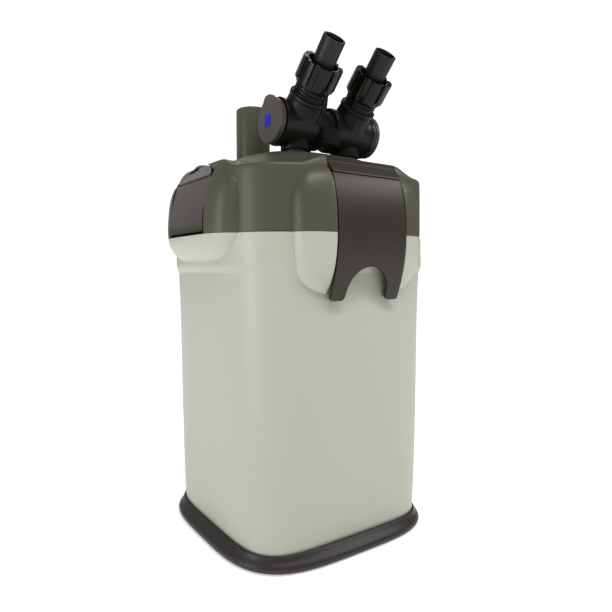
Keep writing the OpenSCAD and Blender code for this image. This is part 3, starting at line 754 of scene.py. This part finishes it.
class FILTER_OT_stage(Step):
    """Floor, soft studio lights and camera"""
    bl_idname = "filter.stage"
    bl_label = "Stage"

    def build(self):
        scene = bpy.context.scene
        scene.view_settings.view_transform = "Standard"
        scene.view_settings.look = "None"
        scene.view_settings.gamma = 0.76
        world = bpy.data.worlds.new("studio")
        scene.world = world
        world.use_nodes = True
        sky = Desk(world.node_tree)
        world.node_tree.nodes.clear()
        seen = sky.make("ShaderNodeLightPath")[0]
        soft = sky.make("ShaderNodeBackground", None, (1.0, 1.0, 1.0, 1.0), 0.26)[0]
        bright = sky.make("ShaderNodeBackground", None, (1.0, 1.0, 1.0, 1.0), 1.05)[0]
        sky.make("ShaderNodeOutputWorld", None, sky.make("ShaderNodeMixShader", None, seen, soft, bright)[0])
        floor = sheet("floor", [[(x, y, 0.0) for x in (-6000, 6000)] for y in (-6000, 6000)])
        f = Finish("pale_floor")
        cloud = f.noise(1.5, 3.0)
        away = f.make("ShaderNodeVectorMath", {"operation": "LENGTH"}, f.object_place)[0].ramp(0.2, 1.8)
        glow = f.mix(away, (0.52, 0.52, 0.52, 1), (0.85, 0.85, 0.85, 1))
        paint = f.mix(cloud, (0.84, 0.84, 0.84, 1), (0.87, 0.87, 0.87, 1))
        normal = f.bump(f.noise(300.0), 0.02, 0.0005)
        floor.data.materials.append(f.close(paint, cloud * 0.1 + 0.7, normal, emission_color=glow,
                                            emission_strength=1.0))
        lens = bpy.data.cameras.new("camera")
        lens.sensor_width, lens.lens, lens.clip_start = 36.0, 31.654, 0.01
        camera = new_object("camera", lens)
        camera.location = (-0.25524, -0.38456, 0.20873)
        camera.rotation_euler = Vector((0.5676, 0.821, -0.0616)).to_track_quat("-Z", "Y").to_euler()
        scene.camera = camera
        for name, spot, target, size, power, tint in (
                ("top_light", (-0.10, -0.62, 1.25), (0, 0, 0.28), (1.0, 0.16), 8.5, (1.0, 0.99, 0.97)),
                ("left_light", (-1.25, 0.05, 0.30), (0, 0, 0.12), (0.30, 0.8), 4.4, (1.0, 1.0, 1.0)),
                ("right_light", (0.85, -0.68, 0.98), (0, 0, 0.25), (0.45, 0.22), 3.6, (1.0, 1.0, 1.0)),
                ("rear_light", (-0.35, 1.5, 0.80), (0, 0, 0.25), (1.2, 0.8), 1.4, (1.0, 1.0, 1.0)),
                ("back_light", (0.45, 0.75, 1.15), (0, 0, 0.25), (0.8, 0.6), 2.4, (1.0, 1.0, 1.0))):
            lamp = bpy.data.lights.new(name, "AREA")
            lamp.shape, lamp.size, lamp.size_y = "RECTANGLE", size[0], size[1]
            lamp.energy, lamp.color = power, tint
            holder = new_object(name, lamp)
            holder.location, holder.visible_camera = spot, False
            holder.rotation_euler = (Vector(target) - Vector(spot)).to_track_quat("-Z", "Y").to_euler()


class FILTER_OT_canister(Step):
    """Square canister with the lower halves of the four bosses"""
    bl_idname = "filter.canister"
    bl_label = "Canister"

    def build(self):
        wall = settings().sizes.wall / MM
        levels = [low("canister")[2], 12, 30, 60, 90, 120, 150, 175, 190, 200, 205, 208,
                  *np.linspace(207.5, 215.5, 18), 220, 226, 232, SEAM]
        shell = loft("canister_shell", [canister_ring(z) for z in levels])
        lug = rounded([(-86, 218, 0), (-95.2, 218, 1.2), (-95.2, 223, 1.2), (-86, 223, 0)])
        parts = []
        for side in BOSSES:
            parts.append(boss_part(side, 100, SEAM))
            if side in CLIPPED:
                parts.append(shift(prism(lug, 0, -HOOK_HALF, HOOK_HALF), face_turn(side)))
        join(shell, *parts)
        inside = (8.5, 60, 120, 180, 205, 209, 212, 215, 225, SEAM + 1)
        cut(shell, loft("tool", [canister_ring(z, wall) for z in inside]))
        finish_piece(shell, "housing", "canister_grey", ["canister"])


class FILTER_OT_foot(Step):
    """Flared foot skirt and its rubber pads"""
    bl_idname = "filter.foot"
    bl_label = "Foot"

    def build(self):
        base = low("foot")[2]
        # half width, height above the base, squareness
        section = [(85.6, 0, 3.7), (88.2, 0.05, 3.7), (89.2, 0.5, 3.7), (89.8, 1.5, 3.7), (90.0, 3.0, 3.7),
                   (89.6, 4.3, 3.7), (88.7, 5.5, 3.75), (87.4, 6.7, 3.85), (86.0, 7.9, 4.0),
                   (84.8, 9.1, 4.25), (83.9, 10.2, 4.45), (83.3, 10.9, 4.6), (82.8, 11.15, 4.7),
                   (81.9, 11.2, 4.9), (81.3, 11.0, 5.1), (81.1, 10.0, 5.2), (81.0, 4.0, 5.2)]
        skirt = loft("foot_skirt", [outline(h, n, base + up) for h, up, n in section])
        spots = [(x, y) for x in (-PAD_SPOT, PAD_SPOT) for y in (-PAD_SPOT, PAD_SPOT)]
        cut(skirt, *[rod_tool(9.3, s, 2, -1, 3.1) for s in spots])
        finish_piece(skirt, "housing", "foot_dark", ["foot"])
        profile = rounded([(0, 0, 0), (8.4, 0, 0.5), (8.4, 0.9, 0.1), (9, 1.2, 0.2), (9, 3, 0.2),
                           (0, 3, 0)], closed=False)
        pads, *others = [turned("foot_pad_set", profile, (x, y, 0)) for x, y in spots]
        for pad in others:
            join(pads, pad)
        finish_piece(pads, "housing", "rubber_black", ["foot_pads"])


def rise(angles):
    """How far the rim of the head climbs beside a boss, 0 to 1, at each angle."""
    c, s = np.abs(np.cos(angles)), np.abs(np.sin(angles))
    lat = 87 * np.minimum(c, s) / np.maximum(c, s)
    return 1 - ease(lat, 33, 56)


class FILTER_OT_head(Step):
    """Pump head with its raised deck, the upper halves of the bosses and the openings"""
    bl_idname = "filter.head"
    bl_label = "Head"

    def build(self):
        base = low("head_cover")[2] - 0.05
        climb = rise(ANGLES)
        skirt = [(89.0, base), (89.0, 245), (88.9, 255), (88.8, 265)]
        crown = [(55.0, 297.8), (52.0, 298.7), (48.0, 299.0), (30.0, 299.0), (4.0, 299.0)]
        plain = [*skirt, (88.7, 272), (88.6, 277), (88.5, 280), (88.2, 281.5), (87.7, 282.1),
                 (87.0, 282.4), (86.0, 282.5), (84.0, 282.7), (80.0, 283.6), (76.0, 285.0),
                 (72.0, 287.0), (68.0, 289.6), (64.5, 292.1), (61.5, 294.2), (58.0, 296.4), *crown]
        risen = [*skirt, (88.6, 272), (88.2, 277), (88.0, 281.4), (87.5, 284.8), (86.4, 287.5),
                 (85.2, 288.9), (83.6, 289.35), (81.6, 289.4), (79.0, 289.4), (76.0, 289.6),
                 (72.0, 290.2), (68.0, 291.5), (64.5, 293.0), (61.5, 294.6), (58.0, 296.5), *crown]
        rows = []
        for k, ((h0, z0), (h1, z1)) in enumerate(zip(plain, risen)):
            square = 3.5 - 0.7 * ease(k, 12, 21)
            rows.append(outline(h0 + (h1 - h0) * climb, square, z0 + (z1 - z0) * climb))
        cover = loft("head_cover_shell", rows)
        join(cover, *[boss_part(side, base, 310) for side in BOSSES])
        tools = [flange_tool("front"), flange_tool("rear")]
        tools += [rod_tool(5.9, (s * PIN[1], PIN[2]), 0, -SLOT_HALF, SLOT_HALF) for s in (1, -1)]
        tools += [panel_room("left"), panel_room("right")]
        tools += [rod_tool(24.0, PRIMER[:2], 2, 291, 310, 128),
                  rod_tool(16.1, PRIMER[:2], 2, 262, 300, 96)]
        tools += [rod_tool(8.2, (BLOCK + s * TAP_HALF, BARREL[1]), 2, 262, 310) for s in (-1, 1)]
        inside = [outline(h, n, z) for h, n, z in (
            (86.2, 3.5, 230), (85.6, 3.5, 267), (75.0, 3.4, 270), (71.0, 3.3, 282), (60.0, 3.0, 289.5),
            (49.5, 2.8, 295.5))]
        cut(cover, *tools, loft("tool", inside))
        join(cover, turned("dish", drum(25.5, 287.0, 291.2, 0, 16.15), (*PRIMER[:2], 0)))
        finish_piece(cover, "housing", "head_olive", ["head_cover"])


PANEL_ARCH = 53.0                       # radius of the arched top edge of a side panel


def panel_room(side):
    """Cutter for the room that a side panel sits in, with a deeper gap along its lower edge."""
    deep = 3.8
    heights = np.linspace(SEAM - 1, 277, 30)
    face = [(-(float(bow_face(z, 0.01)) - deep), z) for z in heights]
    face += [(-80.7, BOSS_TOP), (-78.7, 296), (-120, 296), (-120, SEAM - 1)]
    room = prism(face, 0, -SLOT_HALF, SLOT_HALF)
    radius = PANEL_ARCH * 1.006
    arch = [(radius * math.sin(a), BOSS_TOP - PANEL_ARCH + radius * math.cos(a))
            for a in np.linspace(-0.66, 0.66, 49)]
    keep(room, prism([(-33, SEAM - 2)] + arch + [(33, SEAM - 2)], 1, -130, -60))
    join(room, block((-SLOT_HALF, -130, SEAM - 1), (SLOT_HALF, -82, SEAM + 2.2)))
    return shift(room, face_turn(side))


def bowed(z, offset):
    """Distance from the middle to the bow, set in by an offset, at a height."""
    return float(CREST - BOW + math.sqrt((BOW - offset) ** 2 - (z - SEAM) ** 2))


def bow_rows(offset, start, lip):
    """(outward, height) points up a clip or panel from a height to its top edge."""
    points = [(bowed(z, offset), z) for z in np.linspace(start, 275.4, 26)]
    crease = 278.7
    step = [(92.55, 276.6), (92.3, 277.1), (92.55 + lip, 277.4), (92.5 + lip, 277.9),
            (92.1 + lip * 0.8, crease)]
    points += [(out - offset * 0.4, z) for out, z in step]
    (o0, _), (o1, z1) = FLANGE
    for k in range(1, FLANGE_STEPS + 1):
        t = k / FLANGE_STEPS
        points.append((o0 + (o1 - o0) * t + lip * 0.5 * (1 - t) - offset * 0.6,
                       crease + (z1 - 0.25 - crease) * t))
    return points


class FILTER_OT_clips(Step):
    """The front and rear clips that hold the head down"""
    bl_idname = "filter.clips"
    bl_label = "Clips"

    def build(self):
        s = settings().sizes
        arch_r, arch_z, flare, corner = 19.0, CLIP_FOOT + 5, 2.5, 1.6
        across = [(x, arch_z + math.sqrt(max(0.0, arch_r ** 2 - x ** 2)))
                  for x in arch_r * np.sin(np.linspace(0, math.pi / 2, 24))]
        across += [(arch_r + flare * (1 - math.cos(t)), arch_z - 5 * math.sin(t))
                   for t in np.linspace(0.3, math.pi / 2, 5)]
        across += [(x, CLIP_FOOT) for x in np.linspace(23.5, CLIP_HALF - corner, 5)]
        across += [(CLIP_HALF - corner + corner * math.sin(t), CLIP_FOOT + corner * (1 - math.cos(t)))
                   for t in (0.5, 1.0, 1.57)]
        across = [(-x, z) for x, z in reversed(across[1:])] + across
        split, offset = 224.0, 0.4
        rows = []
        for u in np.linspace(0, 1, 22)[:-1]:
            heights = [z + (split - z) * u for _, z in across]
            rows.append([(x, -bowed(z, offset), z) for (x, _), z in zip(across, heights)])
        rows += [[(x, -out, z) for x, _ in across] for out, z in bow_rows(offset, split, 0.5)]
        catch = rounded([(-91.4, 214.0, 0.6), (-96.6, 213.4, 0), (-96.6, 218.6, 0), (-91.4, 217.6, 0.6)])
        for side in CLIPPED:
            clip = sheet(side + "_clip_panel", rows)
            thicken(clip, s.clip_wall, True)
            bevel(clip, s.edge)
            knuckle = rod_tool(3.0, PIN[1:], 0, -CLIP_HALF + 0.2, CLIP_HALF - 0.2, 48)
            join(clip, knuckle, prism(catch, 0, -HOOK_HALF, HOOK_HALF))
            cut(clip, rod_tool(1.4, PIN[1:], 0, -40, 40, 32))
            shift(clip, face_turn(side))
            finish_piece(clip, side + "_clip", "clip_charcoal", [side + "_clip"], 30)


class FILTER_OT_panels(Step):
    """The fixed glossy panels on the left and right bosses"""
    bl_idname = "filter.panels"
    bl_label = "Side panels"

    def build(self):
        s = settings().sizes
        half, foot = CLIP_HALF, low("left_panel")[2]
        xs = half * np.sin(np.linspace(-math.pi / 2, math.pi / 2, 57))
        body = bow_rows(0.3, foot, 0.45)
        crease = len(body) - FLANGE_STEPS
        for side in ("left", "right"):
            rows = [[(x, -out, z) for x in xs] for out, z in body[:crease]]
            start, end = body[crease - 1], body[-1]
            for t in np.linspace(0, 1, 12)[1:]:
                row = []
                for x in xs:
                    top = BOSS_TOP - PANEL_ARCH - 0.1 + math.sqrt((PANEL_ARCH - 0.4) ** 2 - x * x)
                    z = start[1] + (max(top, start[1] + 0.25) - start[1]) * t
                    k = (z - start[1]) / (end[1] - start[1])
                    row.append((x, -(start[0] + (end[0] - start[0]) * k), z))
                rows.append(row)
            panel = sheet(side + "_panel_cover", rows)
            thicken(panel, s.panel_wall, False)
            bevel(panel, s.edge)
            shift(panel, face_turn(side))
            finish_piece(panel, "housing", "panel_gloss", [side + "_panel"], 30)


TILT = math.radians(45)
ALONG_X = Matrix.Rotation(math.pi / 2, 3, "Y")
NECK = Matrix.Rotation(TILT, 3, "X")


def tap_place(side):
    return np.array([BLOCK + side * TAP_HALF, BARREL[1], BARREL[2]])


def barrel_way(side):
    """Turns a shape drawn up Z to point outwards along the barrel of a tap."""
    return Matrix.Rotation(side * math.pi / 2, 3, "Y")


def neck_object(obj, side):
    """Moves a shape drawn up the axis of a hose connector into place."""
    return moved(obj, tap_place(side), NECK.to_4x4())


class FILTER_OT_tap_block(Step):
    """Twin tap block with its angled necks, sockets and label plate"""
    bl_idname = "filter.tap_block"
    bl_label = "Tap block"

    def build(self):
        radius, lug_y = 17.0, -19.5
        barrel = rounded([(0, 4, 0), (radius, 4, 1.6), (radius, 38.4, 0.3), (radius + 0.5, 38.9, 0.3),
                          (radius + 0.5, 41.3, 0.5), (0, 41.3, 0)], closed=False)
        neck = rounded([(0, 0, 0), (15.9, 0, 0), (13.45, 21.2, 0.5), (14.1, 21.9, 0.4), (14.1, 24.5, 0.5),
                        (11.7, 24.5, 0.3), (11.7, 33, 0.5), (0, 33, 0)], closed=False)
        ear = rounded([(BARREL[1] + 6, 322, 0), (lug_y + 4, 326.5, 4), (lug_y + 4, 334.5, 4),
                       (lug_y - 4, 334.5, 4), (BARREL[1] + 6, 330, 0)])
        parts = []
        for side, _ in SIDES:
            at = tap_place(side)
            parts.append(turned("barrel", barrel, BARREL, barrel_way(side), 128))
            parts.append(turned("neck", neck, at, NECK, 128))
            parts.append(turned("socket", drum(11.5, 301 - at[2], 0, 0.5), at))
            x0 = BLOCK + (17.5 if side > 0 else -20.7)
            parts.append(prism(ear, 0, x0, x0 + 3.2))
        parts.append(turned("bridge", drum(14, -5.5, 5.5), BARREL, ALONG_X))
        front = low("label_plate")[1] + 1.4
        face = rounded([(-36, 305.2, 0), (front, 305.2, 0.6), (front, 318.2, 0.6), (-36, 318.2, 0)])
        parts.append(prism(face, 0, BLOCK - 12, BLOCK + 4.5))
        tap = parts[0]
        tap.name = "tap_block_body"
        join(tap, *parts[1:])
        tools = []
        for side, _ in SIDES:
            at = tap_place(side)
            tools.append(turned("tool", drum(11.1, 9.5, 45), BARREL, barrel_way(side)))
            tools.append(turned("tool", drum(8.1, 300 - at[2], -6), at))
            tools.append(turned("tool", drum(8.1, 5, 40), at, NECK))
        cut(tap, *tools)
        finish_piece(tap, "housing", "tap_dark", ["tap_block"], 35)
        lo, hi = low("label_plate"), high("label_plate")
        edge = rounded([(x, z, 0.8) for x, z in (
            (lo[0], lo[2]), (hi[0], lo[2]), (hi[0], hi[2]), (lo[0], hi[2]))])
        plate = bevel(prism(edge, 1, lo[1], hi[1], "label_plate_blank"), 0.0002, 2)
        finish_piece(plate, "housing", "label_black", ["label_plate"])
        tree, ids = thread_tree()
        for side, name in SIDES:
            thread = grown(name + "_thread", tree, ids, {
                "Turns": 3.0, "Radius": 0.0117, "Height": 0.0066, "Crest": 0.0006,
                "Material": finish("nut_black")})
            neck_object(moved(thread, (0, 0, 25.4)), side)
            finish_piece(thread, "housing", "nut_black")


class FILTER_OT_tap_knobs(Step):
    """Tap knobs with thumb lobes and their flow marks"""
    bl_idname = "filter.tap_knobs"
    bl_label = "Tap knobs"

    def build(self):
        rim = rounded([(0, 43.6, 0), (16.5, 43.6, 0.3), (16.7, 46.6, 0.5), (16.1, KNOB_FACE, 0.5),
                       (0, KNOB_FACE, 0)], closed=False)
        lobe = rounded([(BARREL[1] + y, BARREL[2] + z, r) for y, z, r in (
            (0.5, 15, 0), (-2.2, 16.6, 1.5), (1.5, 19.6, 2.5), (8.5, 19.4, 3.5), (13.4, 12.5, 3.0),
            (12, 6, 0), (0, 5, 0))])
        for side, name in SIDES:
            way = barrel_way(side)
            x0, x1 = sorted((BLOCK + side * 42.2, BLOCK + side * 45.4))
            disc = turned(name + "_knob_disc", rim, BARREL, way, 128)
            join(disc, rod_tool(16.0, BARREL[1:], 0, x0, x1), prism(lobe, 0, x0, x1),
                 turned("spindle", drum(6, 39.8, 43.8), BARREL, way))
            y, z = middle(name + "_tap_mark")[1:]
            wide = (high(name + "_tap_mark") - low(name + "_tap_mark"))[1:] / 2
            seat = rounded([(y + i * wide[0], z + j * wide[1], 0.9)
                            for i, j in ((-1, -1), (1, -1), (1, 1), (-1, 1))])
            face = BLOCK + side * KNOB_FACE
            floor = face - side * 0.7
            cut(disc, prism(seat, 0, *sorted((floor, face + side))))
            mark = prism([(y + (a - y) * 0.97, z + (b - z) * 0.97) for a, b in seat], 0,
                         *sorted((floor, face + side * 0.1)), name + "_flow_mark")
            finish_piece(disc, name + "_tap", "knob_grey", [name + "_tap_knob"])
            finish_piece(mark, name + "_tap", "mark_blue", [name + "_tap_mark"])


class FILTER_OT_hose_connectors(Step):
    """Hose tails, clamp rings and ribbed nuts"""
    bl_idname = "filter.hose_connectors"
    bl_label = "Hose connectors"

    def build(self):
        tree, ids = bars_tree()
        count = settings().sizes.nut_ribs
        spigot = rounded([(SPIGOT_BORE, 18, 0), (8.0, 18, 0), (8.0, 49.3, 0.1), (8.2, 49.6, 0.1),
                          (8.2, 67.8, 0.35), (SPIGOT_BORE, 67.8, 0.45)])
        cap = rounded([(NUT_BORE, 31.5, 0.3), (13.2, 31.5, 0.4), (13.2, 50, 0.7), (11.1, 50, 0.5),
                       (11.1, 41.5, 0.2), (NUT_BORE, 41.5, 0.2)])
        for side, name in SIDES:
            tail = turned(name + "_hose_spigot", spigot)
            finish_piece(neck_object(tail, side), "housing", "tail_dark", [name + "_hose_tail"], 60)
            ring = turned(name + "_clamp_sleeve", drum(12, 34, 41.2, 0.5, 9.2))
            cut(ring, block((-0.8, 8, 33), (0.8, 14, 42)))
            finish_piece(neck_object(ring, side), name + "_clamp", "inner_black",
                         [name + "_clamp_ring"])
            nut = turned(name + "_hose_nut_body", cap, around=128)
            ribs = grown("ribs", tree, ids, {
                "Count": count, "Width": 0.0030, "Depth": 0.0068, "Edge": 0.0007,
                "Length": (0.0, 0.0, 0.0158), "Radius": 0.0135, "Turn": TURN / count,
                "Material": finish("nut_black")})
            join(nut, moved(ribs, (0, 0, 34.3), Matrix.Rotation(math.pi / 8, 4, "Z")))
            finish_piece(neck_object(nut, side), name + "_nut", "nut_black", [name + "_hose_nut"], 35)


class FILTER_OT_lever(Step):
    """Release lever behind the tap block"""
    bl_idname = "filter.lever"
    bl_label = "Release lever"

    def build(self):
        hinge = middle("lever_pin")
        half, tip = (high("release_lever")[0] - low("release_lever")[0]) / 2, LEVER_LENGTH
        face = rounded([(-half, 0, 0), (half, 0, 0), (half - 1, tip - 3, 2), (half - 4, tip, 3),
                        (4 - half, tip, 3), (1 - half, tip - 3, 2)])
        paddle = bevel(prism(face, 1, -1.6, 1.6, "lever_paddle"), 0.0007, angle=50)
        tree, ids = bars_tree()
        count = settings().sizes.lever_ridges
        ridges = grown("ridges", tree, ids, {
            "Count": count, "Width": 0.0014, "Depth": 0.0014, "Edge": 0.0005,
            "Length": (2 * (half - 4) * MM, 0.0, 0.0), "Step": (0.0, 0.0, 0.004),
            "Material": finish("lever_dark")})
        moved(ridges, (4 - half, 1.8, tip - 16))
        hub = turned("hub", drum(3.6, -half, half, 0.6), (0, 0, 0), ALONG_X, 48)
        join(paddle, hub, ridges)
        moved(paddle, hinge, Matrix.Rotation(LEVER_LEAN, 4, "X"))
        finish_piece(paddle, "lever", "lever_dark", ["release_lever"], 35)


class FILTER_OT_primer(Step):
    """Priming plunger in its collar"""
    bl_idname = "filter.primer"
    bl_label = "Primer"

    def build(self):
        x, y = PRIMER[:2]
        top = PLUNGER_TOP
        section = rounded([(0, top - 2.3, 0), (11.8, top - 2.3, 0.6), (11.8, 268, 0.2), (14, 268, 0.4),
                           (14, top, 1.7), (0, top, 0)], closed=False)
        cap = turned("primer_cap", section, (x, y, 0), around=128)
        finish_piece(cap, "primer", "head_olive", ["primer_plunger"], 35)
        section = rounded([(14.3, 288, 0), (16, 288, 0), (16, 291, 0), (16.6, 291, 0), (16.6, 303, 1.0),
                           (14.3, 303, 0.6)])
        collar = turned("primer_ring", section, (x, y, 0), around=128)
        finish_piece(collar, "housing", "head_olive", ["primer_collar"], 35)
        lo, hi = low("primer_spring"), high("primer_spring")
        wire, length = 0.8, hi[2] - lo[2]
        tree, ids = thread_tree()
        coil = grown("primer_coil", tree, ids, {
            "Turns": 9.0, "Radius": ((hi[0] - lo[0]) / 2 - wire) * MM, "Height": (length - 2 * wire) * MM,
            "Crest": wire * MM, "Material": finish("steel")})
        moved(coil, (x, y, lo[2] + wire))
        finish_piece(coil, "housing", "steel", ["primer_spring"], 60)
        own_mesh(coil)


class FILTER_OT_gland(Step):
    """Soft gland where a lead would leave the head"""
    bl_idname = "filter.gland"
    bl_label = "Cord gland"

    def build(self):
        x, y = middle("cord_gland")[:2]
        z = BOSS_TOP
        section = rounded([(2.3, z - 6, 0.2), (4, z - 6, 0.3), (4, z - 0.4, 0), (7.4, z - 0.4, 0.2),
                           (7.3, z + 1.6, 1.2), (5.6, z + 3.2, 1.0), (3.9, z + 4, 0.5), (2.3, z + 4, 0.4)])
        gland = turned("gland_boot", section, (x, y, 0))
        finish_piece(gland, "housing", "gland_grey", ["cord_gland"], 50)


class FILTER_OT_media(Step):
    """Foam and floss pads"""
    bl_idname = "filter.media"
    bl_label = "Filter media"

    def build(self):
        for node, piece, slot, fill in (("coarse_foam", "coarse_foam_pad", "foam_blue", 0.95),
                                        ("fine_foam", "fine_floss_pad", "floss_white", 0.8)):
            lo, hi = low(node), high(node)
            half, thick = hi[0], hi[2] - lo[2]
            rows, edge = [], 3.0
            for t in np.linspace(0, 1, 25):
                z = lo[2] + thick * t
                pull = 1.2 * math.sin(math.pi * t)
                near = min(t, 1 - t) * thick
                inset = edge - math.sqrt(max(0.0, edge ** 2 - (edge - near) ** 2)) if near < edge else 0.0
                rows.append(outline(half - inset - pull, 7.0, z, ANGLES[::2]))
            pad = loft(piece, rows)
            riser = middle("riser_tube")
            cut(pad, rod_tool(13.6, riser[:2], 2, lo[2] - 2, hi[2] + 2))
            finish_piece(pad, "housing", slot, [node])


class FILTER_OT_frame_finishes(Step):
    """Finishes on the parts that keep their CAD shape"""
    bl_idname = "filter.frame_finishes"
    bl_label = "Frame finishes"

    def build(self):
        for node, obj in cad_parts.items():
            if obj.hide_render:
                continue
            obj.data.materials.clear()
            obj.data.materials.append(finish(FRAME_SLOTS[node]))


# the CAD parts that keep their shape, by finish
FRAME_NODES = {
    "inner_black": ("head_plate", "motor_housing", "lower_basket", "middle_basket",
                    "upper_basket", "basket_lid"),
    "seal_rubber": ("head_seal", "shaft_bushes", "pipe_seals"),
    "steel": ("head_screws", "front_clip_pin", "rear_clip_pin", "lever_pin"),
    "copper_coil": ("stator",),
    "magnet": ("rotor_magnet",),
    "white_plastic": ("impeller", "left_valve_core", "right_valve_core"),
    "ceramic_white": ("rotor_shaft", "ceramic_rings"),
    "inner_grey": ("impeller_cover", "riser_tube", "inlet_pipe", "outlet_pipe", "primer_guide"),
    "ball_blue": ("bio_balls",),
}
FRAME_SLOTS = {node: slot for slot, nodes in FRAME_NODES.items() for node in nodes}


STEPS = (FILTER_OT_stage, FILTER_OT_canister, FILTER_OT_foot, FILTER_OT_head, FILTER_OT_clips,
         FILTER_OT_panels, FILTER_OT_tap_block, FILTER_OT_tap_knobs, FILTER_OT_hose_connectors,
         FILTER_OT_lever, FILTER_OT_primer, FILTER_OT_gland, FILTER_OT_media, FILTER_OT_frame_finishes)


class FILTER_PT_build(bpy.types.Panel):
    """Sizes, colours and build steps of the filter"""
    bl_label = "Canister filter"
    bl_idname = "FILTER_PT_build"
    bl_space_type = "VIEW_3D"
    bl_region_type = "UI"
    bl_category = "Filter"

    def draw(self, context):
        for group in (settings().sizes, settings().finishes):
            box = self.layout.box()
            for key in group.__annotations__:
                box.prop(group, key)
        for step in STEPS:
            self.layout.operator(step.bl_idname)


CLASSES = (FilterFinishes, FilterSizes, FilterSettings, *STEPS, FILTER_PT_build)


def register():
    for cls in CLASSES:
        bpy.utils.register_class(cls)
    bpy.types.Scene.canister_filter = PointerProperty(type=FilterSettings)


def unregister():
    del bpy.types.Scene.canister_filter
    for cls in reversed(CLASSES):
        bpy.utils.unregister_class(cls)


def main():
    register()
    for step in STEPS:
        group, name = step.bl_idname.split(".")
        getattr(getattr(bpy.ops, group), name)()


if __name__ == "__main__":
    main()
